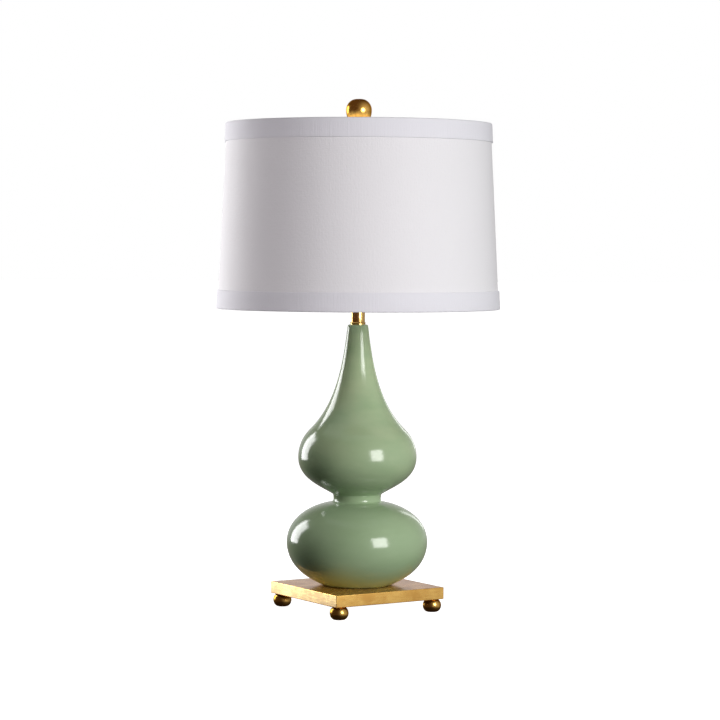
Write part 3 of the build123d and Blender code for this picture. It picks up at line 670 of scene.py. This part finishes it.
class LAMP_OT_base_plate(Operator):
    """Model the gilded plate with softened edges and the nut's recess under it"""

    bl_idname = "lamp.base_plate"
    bl_label = "Base plate"

    def execute(self, context):
        settings = context.scene.lamp_base
        bottom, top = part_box("base_plate")
        middle, size = (bottom + top) / 2, top - bottom
        plate = start_with(bpy.ops.mesh.primitive_cube_add, size=1, location=middle, scale=size)
        plate.name = "gilded_plate"
        place_in_mesh(plate)

        def rise(edge):
            start, end = (plate.data.vertices[n].co for n in edge.vertices)
            return abs(end.z - start.z)

        edit_where(plate, "edges", lambda edge: rise(edge) > MM)
        bpy.ops.mesh.bevel(offset=settings.corner_round, segments=4, affect="EDGES")
        edit_where(plate, "edges", lambda edge: rise(edge) < MM)
        bpy.ops.mesh.bevel(offset=settings.edge_round, segments=3, affect="EDGES")
        edit(False)
        bore, wide, roof = settings.rod_hole_radius, settings.recess_radius, high("rod_washer").z
        below, above = bottom.z - 2 * MM, top.z + 2 * MM
        stepped = [(0, below), (wide, below), (wide, roof), (bore, roof), (bore, above), (0, above)]
        cut(plate, turned("recess_cutter", stepped, 64, closed=False))
        only(plate)
        smooth(30)
        leaf = gold_leaf(
            "gilded_wood_finish", settings.leaf, settings.leaf_rubbed, settings.bole,
            edge=(0.96, 0.80, 0.80), gloss=0.24, wear=0.3, lacquer=0.5, metal=0.85,
        )
        settle(plate, leaf, "gilded_wood", "base_plate")
        return {"FINISHED"}


# --- the ceramic body -----------------------------------------------------------------
def gourd_side(settings, base, top, inset=0.0, floor=0.0):
    """Side of the gourd from the plate to its mouth, moved inwards by an inset."""
    foot = (settings.contact_radius - 0.7 * inset, base + floor)
    lower = (settings.lower_radius - inset, base + settings.lower_height)
    waist = (settings.waist_radius - inset, base + settings.waist_height)
    below = (waist[0] + settings.below_flare, waist[1] - settings.below_drop - inset)
    above = (waist[0] + settings.above_flare, waist[1] + settings.above_rise + inset)
    upper = (settings.upper_radius - inset, base + settings.upper_height)
    turn, bend = settings.shoulder_turn, settings.shoulder_round - inset
    shoulder = (upper[0] - bend * (1 - cos(turn)), upper[1] + bend * sin(turn))
    mouth = (settings.mouth_radius - inset, top)
    rise, fall = lower[1] - foot[1], below[1] - lower[1]
    hang, reach = upper[1] - above[1], mouth[1] - shoulder[1]
    dip, lift = waist[1] - below[1], above[1] - waist[1]
    return joined(
        eased(foot, 20, 0.42 * rise, lower, 90, 0.55 * rise, 22),
        eased(lower, 90, 0.60 * fall, below, 171.6, 0.49 * fall, 22),
        eased(below, 171.6, 0.6 * settings.below_flare, waist, 90, 0.55 * dip, 8),
        eased(waist, 90, 0.55 * lift, above, 32.7, 0.7 * settings.above_flare, 8),
        eased(above, 32.7, 0.39 * hang, upper, 90, 0.59 * hang, 24),
        arc((upper[0] - bend, upper[1]), bend, bend, 0, degrees(turn), 12),
        eased(shoulder, 90 + degrees(turn), 0.33 * reach, mouth, 96, 0.42 * reach, 36),
    )


class LAMP_OT_ceramic_body(Operator):
    """Throw the hollow double gourd on its foot ring, with a rounded mouth"""

    bl_idname = "lamp.ceramic_body"
    bl_label = "Ceramic body"

    def execute(self, context):
        settings = context.scene.lamp_ceramic
        base, top = low("ceramic_body").z, high("ceramic_body").z
        inside = gourd_side(settings, base, top, settings.wall, settings.floor)
        bend = settings.mouth_round
        outside = [point for point in gourd_side(settings, base, top) if point[1] < top - bend]
        lip = arc((settings.mouth_radius - bend, top - bend), bend, bend, 6, 90, 6)
        hole, ring_inside, roof = 9 * MM, settings.contact_radius - 7 * MM, base + 2 * MM
        floor = [(hole, base + settings.floor), (hole, roof), (ring_inside, roof), (ring_inside, base)]
        body = turned("glazed_gourd", joined(outside, lip, list(reversed(inside)), floor), 144)
        settle(body, celadon(settings), "celadon_glaze", "ceramic_body")
        return {"FINISHED"}


# --- brass on the neck ----------------------------------------------------------------
class LAMP_OT_neck_brass(Operator):
    """Turn the check ring with its bead and the neck tube that stands on it"""

    bl_idname = "lamp.neck_brass"
    bl_label = "Neck brass"

    def execute(self, context):
        settings = context.scene.lamp_brass
        brass = turned_brass("polished_brass_finish", settings.polished, gloss=0.13, smudge=0.10)
        bottom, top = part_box("check_ring")
        bore, seat, seat_top = 5.1 * MM, top.x - settings.bead_round, bottom.z + 0.7 * MM
        middle, half = (seat_top + top.z) / 2, (top.z - seat_top) / 2
        bead = arc((seat, middle), settings.bead_round, half, -90, 90, 14)
        outline = joined([(bore, bottom.z), (seat, bottom.z)], bead, [(bore, top.z)])
        settle(turned("turned_check_ring", outline, 72), brass, "polished_brass", "check_ring")
        bottom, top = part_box("neck_tube")
        inner, soften = top.x - settings.tube_wall, settings.edge_soften
        ends = ((inner, bottom.z), (top.x, bottom.z), (top.x, top.z), (inner, top.z))
        tube = turned("drawn_neck_tube", rounded([(*end, soften) for end in ends]), 72)
        settle(tube, brass, "polished_brass", "neck_tube")
        return {"FINISHED"}


# --- lampholder and bulb --------------------------------------------------------------
class LAMP_OT_lampholder(Operator):
    """Spin the socket's cap and its beaded shell, with the hole for the switch's shaft"""

    bl_idname = "lamp.lampholder"
    bl_label = "Lampholder"

    def execute(self, context):
        settings = context.scene.lamp_holder
        polished = context.scene.lamp_brass.polished
        brass = turned_brass("socket_brass_finish", polished, gloss=0.24, smudge=0.12)
        bottom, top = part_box("socket_cap")
        neck, wall, radius = settings.neck_radius, settings.cap_wall, top.x
        shoulder, dome = bottom.z + settings.neck_height, settings.dome_height
        bore, bead, wide = 4.9 * MM, settings.bead, 2.4 * MM
        edge, inside = (radius, shoulder + dome), (radius - wall, shoulder + dome)
        outline = joined(
            [(bore, bottom.z), (neck, bottom.z)],
            eased((neck, shoulder - wall), 10, 0.7 * dome, edge, 90, 0.6 * dome, 14),
            rolled_bead(radius, top.z - 2 * MM, wide, bead),
            [(radius, top.z), (radius - wall, top.z)],
            eased(inside, 270, 0.6 * dome, (neck, shoulder), 190, 0.7 * dome - wall, 14),
            [(bore, shoulder)],
        )
        settle(turned("spun_socket_cap", outline, 72), brass, "polished_brass", "socket_cap")
        bottom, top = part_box("socket_shell")
        radius, wall = top.x, settings.shell_wall
        outline = joined(
            [(radius - wall, bottom.z), (radius, bottom.z)],
            rolled_bead(radius, bottom.z + 17 * MM, wide, -bead),
            rolled_bead(radius, bottom.z + 20 * MM, wide, -bead),
            rolled_bead(radius, top.z - 2 * MM, 1.25 * wide, bead),
            [(radius, top.z), (radius - wall, top.z)],
        )
        shell = turned("beaded_socket_shell", outline, 72)
        axis, hole = (low("switch_shaft").z + high("switch_shaft").z) / 2, 3 * MM
        cutter = start_with(
            bpy.ops.mesh.primitive_cylinder_add, vertices=40, radius=hole, depth=radius,
            location=(0, -radius, axis), rotation=(pi / 2, 0, 0),
        )
        cut(shell, cutter)
        only(shell)
        smooth()
        settle(shell, brass, "polished_brass", "socket_shell")
        return {"FINISHED"}


class LAMP_OT_switch_key(Operator):
    """Model the turn key: a fluted collar and an oval grip with dished sides"""

    bl_idname = "lamp.switch_key"
    bl_label = "Switch key"

    def execute(self, context):
        settings = context.scene.lamp_holder
        bottom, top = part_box("switch_key")
        axis, start = (bottom.z + top.z) / 2, -top.y
        radius, end, thick, flutes = 5.5 * MM, 5 * MM, 5 * MM, settings.key_flutes
        grip_start, grip_end = start + end - 1 * MM, -bottom.y
        corners = [(0, 0, 0), (radius, 0, 0.4 * MM), (radius, end, 0.8 * MM), (0, end, 0)]
        collar = turned("key_collar", rounded(corners), 4 * flutes, closed=False)
        for vertex in collar.data.vertices:
            if hypot(vertex.co.x, vertex.co.y) > 0.9 * radius:
                groove = 1 - cos(flutes * atan2(vertex.co.y, vertex.co.x))
                vertex.co.xy *= 1 - 0.03 * groove
        collar.rotation_euler = (pi / 2, 0, 0)
        collar.location = (0, -start, axis)
        place_in_mesh(collar)
        size = (top.x - bottom.x, grip_end - grip_start, thick)
        grip = start_with(
            bpy.ops.mesh.primitive_cylinder_add, vertices=48, radius=0.5, depth=1,
            location=(0, -(grip_start + grip_end) / 2, axis), scale=size,
        )
        grip.name = "fluted_switch_key"
        place_in_mesh(grip)
        edit_where(grip, "polygons", lambda face: abs(face.normal.z) > 0.9)
        bpy.ops.mesh.inset(thickness=1.5 * MM)
        bpy.ops.mesh.inset(thickness=1.0 * MM, depth=-settings.key_dish)
        edit(False)
        apply_modifier(grip, "BEVEL", width=0.8 * MM, segments=3, limit_method="ANGLE")
        collar.select_set(True)
        bpy.ops.object.join()
        smooth(40)
        black = moulding("key_moulding_finish", (0.012, 0.012, 0.013), 0.28)
        settle(grip, black, "black_moulding", "switch_key")
        return {"FINISHED"}


class LAMP_OT_bulb(Operator):
    """Blow the frosted pear-shaped envelope"""

    bl_idname = "lamp.bulb"
    bl_label = "Bulb"

    def execute(self, context):
        settings = context.scene.lamp_bulb
        bottom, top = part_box("bulb_glass")
        fall = 52                 # degrees from the ball's middle down to where its neck begins

        def envelope(inset):
            radius, neck = top.x - inset, settings.neck_radius - inset
            centre, neck_top = top.z - top.x, bottom.z + settings.neck_height
            join = (radius * cos(radians(fall)), centre - radius * sin(radians(fall)))
            rise = join[1] - neck_top
            return joined(
                [(neck, bottom.z)],
                eased((neck, neck_top), 90, 0.55 * rise, join, 90 - fall, 0.45 * rise, 14),
                arc((0, centre), radius, radius, -fall, 90, 28),
            )

        outline = joined(envelope(0), list(reversed(envelope(settings.wall))))
        settle(turned("frosted_envelope", outline, 72), frosted(settings), "bulb_glass", "bulb_glass")
        return {"FINISHED"}


# --- harp -----------------------------------------------------------------------------
class LAMP_OT_stud(Operator):
    """Cut the thread on the stud that the shade drops over"""

    bl_idname = "lamp.stud"
    bl_label = "Threaded stud"

    def execute(self, context):
        pitch, crest = context.scene.lamp_finial.thread_pitch, 3.15 * MM
        bottom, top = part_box("harp_stud")
        flange, seat = top.x, low("spider_washer").z
        root = crest - 0.55 * pitch
        rod = draw_outline("thread", [(root, 0), (crest, pitch / 2), (root, pitch)], closed=False)
        bpy.ops.mesh.select_all(action="SELECT")
        bpy.ops.transform.translate(value=(0, 0, seat - pitch))
        edit(False)
        only(rod)
        turns = int((top.z - seat) / pitch) + 2
        apply_modifier(
            rod, "SCREW", steps=28, render_steps=28, screw_offset=pitch, iterations=turns,
            use_merge_vertices=True, merge_threshold=0.01 * MM,
        )
        edit()
        for height, down in ((seat, True), (top.z, False)):
            bpy.ops.mesh.select_all(action="SELECT")
            bpy.ops.mesh.bisect(
                plane_co=UP * height, plane_no=UP, use_fill=True, clear_inner=down, clear_outer=not down
            )
        bpy.ops.mesh.select_all(action="SELECT")
        bpy.ops.mesh.normals_make_consistent(inside=False)
        edit(False)
        eyelet_low, eyelet_high = low("harp_bow").z, high("harp_bow").z
        shank, head, head_top = 2.42 * MM, 4 * MM, bottom.z + 1.2 * MM
        if not eyelet_low < head_top < eyelet_high:
            raise RuntimeError("the stud's head is not under the harp's eyelet")
        corners = [
            (0, bottom.z, 0),
            (head, bottom.z, 0.5 * MM),
            (head, head_top, 0.1 * MM),
            (shank, head_top, 0),
            (shank, eyelet_high, 0),
            (flange, eyelet_high, 0.3 * MM),
            (flange, seat, 0.3 * MM),
            (0, seat, 0),
        ]
        flanged = turned("threaded_stud", rounded(corners), 48, closed=False)
        rod.select_set(True)
        bpy.context.view_layer.objects.active = flanged
        bpy.ops.object.join()
        smooth()
        satin = turned_brass("stud_brass_finish", context.scene.lamp_brass.satin, gloss=0.25, smudge=0.1)
        settle(flanged, satin, "satin_brass", "harp_stud")
        return {"FINISHED"}


# --- shade ----------------------------------------------------------------------------
def shade_rims():
    return low("shade_bottom_trim").z, high("shade_top_trim").z


def wall_radius(settings, height, depth=0.0):
    """Radius of the shade's cloth at a height, less a depth into the wall."""
    bottom, top = shade_rims()
    part = (height - bottom) / (top - bottom)
    return settings.bottom_radius + part * (settings.top_radius - settings.bottom_radius) - depth


def wall_band(settings, node, outside, inside, rows):
    """Outline of a sheet between two depths in the shade's wall."""
    bottom, top = low(node).z, high(node).z
    levels = [bottom + (top - bottom) * n / rows for n in range(rows + 1)]
    outer = [(wall_radius(settings, level, outside), level) for level in levels]
    inner = [(wall_radius(settings, level, inside), level) for level in reversed(levels)]
    return outer + inner


def trim_outline(settings, rim, inwards):
    """Section of a trim: a deep leg outside, a fold over the rim's wire, a short leg inside."""
    fold, wire, gap = settings.trim_fold, settings.wire_radius, 0.05 * MM
    proud, depth = settings.trim_thickness, settings.cover_thickness + settings.liner_thickness
    outer_end, inner_end = rim + inwards * settings.trim_height, rim + inwards * settings.trim_inner
    bottom, top = shade_rims()
    tilt = hypot(1, (settings.bottom_radius - settings.top_radius) / (top - bottom))
    wire_height = rim + inwards * (fold + gap + wire)
    core_side = wall_radius(settings, wire_height, depth) - wire * tilt - gap - wire - gap
    inner_side = core_side - fold
    past_wire, under = wire_height + inwards * (wire + gap), rim + inwards * fold

    def wall(into, height, bend=0.0):
        return wall_radius(settings, height, into), height, bend

    legs = 6
    outer = [outer_end + (rim - outer_end) * n / legs for n in range(1, legs)]
    return rounded([
        wall(0, outer_end),
        wall(-proud, outer_end, 0.4 * proud),
        *[wall(-proud, level) for level in outer],
        wall(-proud, rim, 1.6 * MM),
        (inner_side, rim, fold),
        (inner_side, past_wire, 0.3 * MM),
        wall(depth + fold, inner_end, 0.25 * MM),
        wall(depth, inner_end),
        wall(depth, past_wire),
        (core_side, past_wire, 0),
        (core_side, under, 0),
        wall(0, under),
    ])


class LAMP_OT_shade(Operator):
    """Wrap the hard-backed drum: lining, linen cover and the two folded trims"""

    bl_idname = "lamp.shade"
    bl_label = "Shade"

    def execute(self, context):
        settings = context.scene.lamp_shade
        steps = 240
        cloth, backing = settings.cover_thickness, settings.liner_thickness
        outline = wall_band(settings, "shade_liner", cloth, cloth + backing, 1)
        lining = turned("shade_lining", outline, steps, heading=SEAM)
        settle(lining, lining_film(settings), "liner_film", "shade_liner")
        outline = wall_band(settings, "shade_cover", 0, cloth, 10)
        cover = turned("linen_cover", outline, steps, heading=SEAM)
        ripple(cover, 0.12 * MM, 55, 9)
        wrap_cloth(cover, SEAM, settings.bottom_radius)
        settle(cover, linen("linen_finish", settings, 0.0), "linen", "shade_cover")
        ribbed = linen("linen_trim_finish", settings, 1.0)
        bottom_rim, top_rim = shade_rims()
        for name, rim, inwards in (("top", top_rim, -1), ("bottom", bottom_rim, 1)):
            trim = turned(f"linen_{name}_trim", trim_outline(settings, rim, inwards), steps, heading=SEAM)
            wrap_cloth(trim, SEAM, settings.bottom_radius)
            settle(trim, ribbed, "linen_trim", f"shade_{name}_trim")
        return {"FINISHED"}


# --- finial ---------------------------------------------------------------------------
class LAMP_OT_finial(Operator):
    """Turn the finial's stem and its flattened gilded ball"""

    bl_idname = "lamp.finial"
    bl_label = "Finial"

    def execute(self, context):
        settings = context.scene.lamp_finial
        bottom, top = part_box("finial_ball")
        radius, seat, flat = top.x, settings.seat_radius, settings.top_flat
        equator = bottom.z + settings.low_share * (top.z - bottom.z)
        outline = joined(
            [(0, bottom.z), (seat, bottom.z)],
            arc((seat, equator), radius - seat, equator - bottom.z, -90, 0, 20),
            arc((flat, equator), radius - flat, top.z - equator, 0, 90, 24),
            [(0, top.z)],
        )
        ball = turned("gilded_finial_ball", outline, 72, closed=False)
        gilt = turned_brass("finial_gilt_finish", settings.gilt, 0.20, 0.10, edge=(0.55, 0.33, 0.16))
        settle(ball, gilt, "polished_brass", "finial_ball")
        foot = low("finial_base").z
        bore, stem, flange = 3.25 * MM, 5.0 * MM, 6.6 * MM
        corners = [
            (bore, foot, 0.2 * MM),
            (flange, foot, 0.5 * MM),
            (flange, foot + 2.2 * MM, 0.8 * MM),
            (stem, foot + 3.4 * MM, 0.8 * MM),
            (stem, bottom.z - 4.2 * MM, 1.0 * MM),
            (seat, bottom.z - 1.0 * MM, 0.4 * MM),
            (seat, bottom.z, 0),
            (bore, bottom.z, 0),
        ]
        polished = context.scene.lamp_brass.polished
        finish = turned_brass("finial_stem_finish", polished, gloss=0.16, smudge=0.1)
        settle(turned("turned_finial_stem", rounded(corners), 64), finish, "polished_brass", "finial_base")
        return {"FINISHED"}


# --- finishes of the nodes that keep their shape --------------------------------------
class LAMP_OT_finishes(Operator):
    """Give the wires, fasteners and inner pieces their finishes"""

    bl_idname = "lamp.finishes"
    bl_label = "Other finishes"

    def execute(self, context):
        satin = turned_brass("satin_brass_finish", context.scene.lamp_brass.satin, gloss=0.26, smudge=0.12)
        refinish(satin, "harp_bow", "harp_saddle", "harp_sleeve_right", "harp_sleeve_left")
        refinish(satin, "spider_washer", "spider_arms", "switch_shaft")
        steel = plain_metal("zinc_steel_finish", (0.62, 0.63, 0.65), 0.30)
        refinish(steel, "foot_screws", "threaded_rod", "rod_washer", "rod_lock_washer", "rod_nut")
        nickel = plain_metal("nickel_finish", (0.72, 0.70, 0.66), 0.18)
        refinish(nickel, "bulb_cap", "screw_shell", "centre_contact", "terminal_screws")
        refinish(plain_metal("solder_finish", (0.50, 0.51, 0.53), 0.35), "bulb_tip")
        white_wire = moulding("white_wire_finish", (0.78, 0.78, 0.76), 0.35)
        refinish(white_wire, "shade_top_ring", "shade_bottom_ring")
        refinish(moulding("board_finish", (0.42, 0.30, 0.17), 0.8, 0.06), "socket_liner")
        black = moulding("black_moulding_finish", (0.018, 0.018, 0.02), 0.35)
        refinish(black, "socket_core", "cord_bushing")
        refinish(moulding("black_glass_finish", (0.01, 0.01, 0.012), 0.12, 0.01), "bulb_insulator")
        return {"FINISHED"}


# --- floor, light and camera ----------------------------------------------------------
def from_camera(settings, aside, distance, height):
    """A place round the lamp, by its turn in degrees to the right of the camera's side."""
    turn = settings.camera_turn + radians(aside)
    return Vector((sin(turn) * distance, -cos(turn) * distance, height))


def add_light(name, kind, place, power, pieces=(), keep_off=False, mirrored=True):
    """A light the camera doesn't see, for some pieces alone, or for all but those pieces."""
    light = start_with(bpy.ops.object.light_add, type=kind, location=place)
    light.name = name
    light.data.energy = power
    light.visible_camera = False
    light.visible_glossy = mirrored
    if pieces:
        group = bpy.data.collections.new(f"{name}_links")
        for piece in pieces:
            group.objects.link(bpy.data.objects[piece])
        for member in group.collection_objects:
            member.light_linking.link_state = "EXCLUDE" if keep_off else "INCLUDE"
        light.light_linking.receiver_collection = group
    return light


def soft_box(name, place, aim, size, tone, power, **links):
    """A rectangle of light at a place, turned to what it is aimed at."""
    light = add_light(name, "AREA", place, power, **links)
    light.rotation_euler = (aim - place).to_track_quat("-Z", "Y").to_euler()
    light.data.shape = "RECTANGLE"
    light.data.size, light.data.size_y = size
    light.data.color = tone


def lay_floor():
    floor = start_with(
        bpy.ops.mesh.primitive_circle_add, vertices=96, radius=30, fill_type="NGON",
        location=UP * -0.2 * MM,
    )
    floor.name = "pale_floor"
    finish, tree, shader = new_finish("pale_floor_finish")
    feed(tree, shader, {
        "Base Color": (0.75, 0.75, 0.75, 1),
        "Roughness": 0.9,
        "Emission Color": (1, 1, 1, 1),
        "Emission Strength": 1.0,
    })
    floor.data.materials.append(finish)
    floor.visible_diffuse = floor.visible_glossy = floor.visible_shadow = False


def light_room(scene, settings):
    """The room as the camera, the matt pieces and the shiny ones see it."""
    world = bpy.data.worlds.new("studio")
    scene.world = world
    world.use_nodes = True
    tree = world.node_tree
    tree.nodes.clear()
    heading = add(tree, "ShaderNodeTexCoord").outputs["Generated"]
    height = add(tree, "ShaderNodeSeparateXYZ", {"Vector": heading}).outputs["Z"]

    def towards(place):
        inputs = {0: heading, 1: place}
        return add(tree, "ShaderNodeVectorMath", inputs, operation="DOT_PRODUCT").outputs["Value"]

    def glow(tone, strength):
        return add(tree, "ShaderNodeBackground", {"Color": tone, "Strength": strength}).outputs[0]

    away = towards(-from_camera(settings, 0, 1, 0))
    lit_wall = towards(from_camera(settings, 68, 1, 0.12).normalized())
    wall = math_node(tree, "POWER", ranged(tree, lit_wall, 0, 1, 0, 1), 2.0)
    lit = plus(tree, times(tree, ranged(tree, away, -0.1, 0.75, 0, 1), settings.backdrop), settings.room)
    lit = plus(tree, lit, times(tree, wall, settings.wall))
    lit = times(tree, lit, ranged(tree, height, -0.4, 0.05, 0.3, 1))
    paper = times(tree, ranged(tree, height, -0.15, 0.0, 0.2, 1), ranged(tree, height, 0.2, 0.6, 1, 0.1))
    paper = times(tree, paper, settings.mirrored_backdrop)
    level = ranged(tree, height, -0.5, -0.2, settings.below, 1)
    pale = times(tree, times(tree, wall, settings.mirrored_wall), level)
    pale = plus(tree, times(tree, ranged(tree, away, 0.5, 0.92, 0, 1), paper), pale)
    dim = blended(tree, level, toned(settings.dim, settings.below), settings.dim)
    mirrored = blended(tree, pale, dim, WHITE)
    rays = add(tree, "ShaderNodeLightPath").outputs
    matt, shiny, seen = glow((*WHITE, 1), lit), glow(mirrored, 1.0), glow((*WHITE, 1), 1.0)
    indoors = add(tree, "ShaderNodeMixShader", {0: rays["Is Glossy Ray"], 1: matt, 2: shiny}).outputs[0]
    mixed = add(tree, "ShaderNodeMixShader", {0: rays["Is Camera Ray"], 1: indoors, 2: seen}).outputs[0]
    add(tree, "ShaderNodeOutputWorld", {"Surface": mixed})


def hang_lights(settings):
    """The soft boxes: turns in degrees from the camera's side, places and sizes in metres."""
    def at(aside, distance, height):
        return from_camera(settings, aside, distance, height)

    gourd, shade_middle, plate = UP * 0.16, UP * 0.5, UP * 0.02
    over_plate, under_ball = UP * (high("base_plate").z + 1 * MM), UP * (high("finial_base").z - 20 * MM)
    cloth = ("linen_cover", "linen_top_trim", "linen_bottom_trim")
    soft_box("key_light", at(38.3, 2.0, 0.61), gourd, (0.88, 1.10), (1.0, 0.99, 0.985), settings.key_power)
    soft_box(
        "side_light", at(-124, 1.7, 0.59), gourd, (0.80, 1.22), (0.99, 0.99, 1.0), settings.side_power,
        pieces=cloth, keep_off=True,
    )
    soft_box(
        "cloth_side", at(-122, 1.7, 0.48), gourd, (1.10, 1.15), (1.0, 0.99, 0.985), settings.cloth_side,
        pieces=cloth, mirrored=False,
    )
    soft_box(
        "cloth_fill", at(-32, 2.5, 0.42), shade_middle, (2.0, 2.0), (1.0, 0.90, 0.94), settings.fill_power,
        pieces=cloth, mirrored=False,
    )
    soft_box(
        "plate_light", at(-114.5, 1.0, -0.06), plate, (0.36, 0.2), (0.62, 0.77, 1.0), settings.plate_power,
        pieces=("gilded_plate",),
    )
    soft_box(
        "rim_light", at(159, 2.0, 0.62), gourd, (0.20, 0.9), (0.99, 0.99, 1.0), settings.rim_power,
        pieces=("glazed_gourd",),
    )
    soft_box(
        "plate_bounce", over_plate, over_plate + UP, (0.165, 0.165), (1.0, 0.50, 0.12),
        settings.bounce_power, pieces=("glazed_gourd",), mirrored=False,
    )
    soft_box(
        "finial_light", under_ball, under_ball + UP, (0.13, 0.13), (1.0, 0.86, 0.65), settings.finial_power,
        pieces=("gilded_finial_ball",),
    )
    inner = add_light(
        "inner_light", "POINT", UP * 0.56, settings.inner_power, pieces=("shade_lining",), mirrored=False
    )
    inner.data.shadow_soft_size = 0.04


def set_camera(scene, settings):
    place = from_camera(settings, 0, settings.camera_distance, settings.camera_height)
    ahead = Vector((-place.x, -place.y, 0)).normalized()
    aim = ahead * cos(settings.camera_tilt) - UP * sin(settings.camera_tilt)
    bpy.ops.object.camera_add(location=place)
    camera = bpy.context.object
    roll = Quaternion(UP, settings.camera_roll)
    camera.rotation_euler = (aim.to_track_quat("-Z", "Y") @ roll).to_euler()
    camera.data.lens = settings.camera_lens
    camera.data.sensor_width = 36
    camera.data.shift_x = PICTURE_SHIFT
    scene.camera = camera
    scene.view_settings.view_transform = "Standard"


class LAMP_OT_stage(Operator):
    """Lay the pale floor and set the room, the soft boxes and the camera"""

    bl_idname = "lamp.stage"
    bl_label = "Stage"

    def execute(self, context):
        settings = context.scene.lamp_studio
        lay_floor()
        light_room(context.scene, settings)
        hang_lights(settings)
        set_camera(context.scene, settings)
        return {"FINISHED"}


PIECES = (
    LAMP_OT_feet,
    LAMP_OT_base_plate,
    LAMP_OT_ceramic_body,
    LAMP_OT_neck_brass,
    LAMP_OT_lampholder,
    LAMP_OT_switch_key,
    LAMP_OT_bulb,
    LAMP_OT_stud,
    LAMP_OT_shade,
    LAMP_OT_finial,
    LAMP_OT_finishes,
    LAMP_OT_stage,
)


class LAMP_PT_sidebar(Panel):
    """The lamp's settings and the operators that make its pieces"""

    bl_idname = "LAMP_PT_sidebar"
    bl_label = "Double Gourd Lamp"
    bl_space_type = "VIEW_3D"
    bl_region_type = "UI"
    bl_category = "Gourd Lamp"

    def draw(self, context):
        for group, kind in GROUPS.items():
            box = self.layout.box()
            for name in kind.__annotations__:
                box.prop(getattr(context.scene, group), name)
        column = self.layout.column(align=True)
        for piece in PIECES:
            column.operator(piece.bl_idname)


def register():
    for kind in (*GROUPS.values(), *PIECES, LAMP_PT_sidebar):
        bpy.utils.register_class(kind)
    for name, kind in GROUPS.items():
        setattr(bpy.types.Scene, name, PointerProperty(type=kind))


def unregister():
    for name in GROUPS:
        delattr(bpy.types.Scene, name)
    for kind in reversed((*GROUPS.values(), *PIECES, LAMP_PT_sidebar)):
        bpy.utils.unregister_class(kind)


def main():
    register()
    for piece in PIECES:
        group, action = piece.bl_idname.split(".")
        getattr(getattr(bpy.ops, group), action)()


if __name__ == "__main__":
    main()
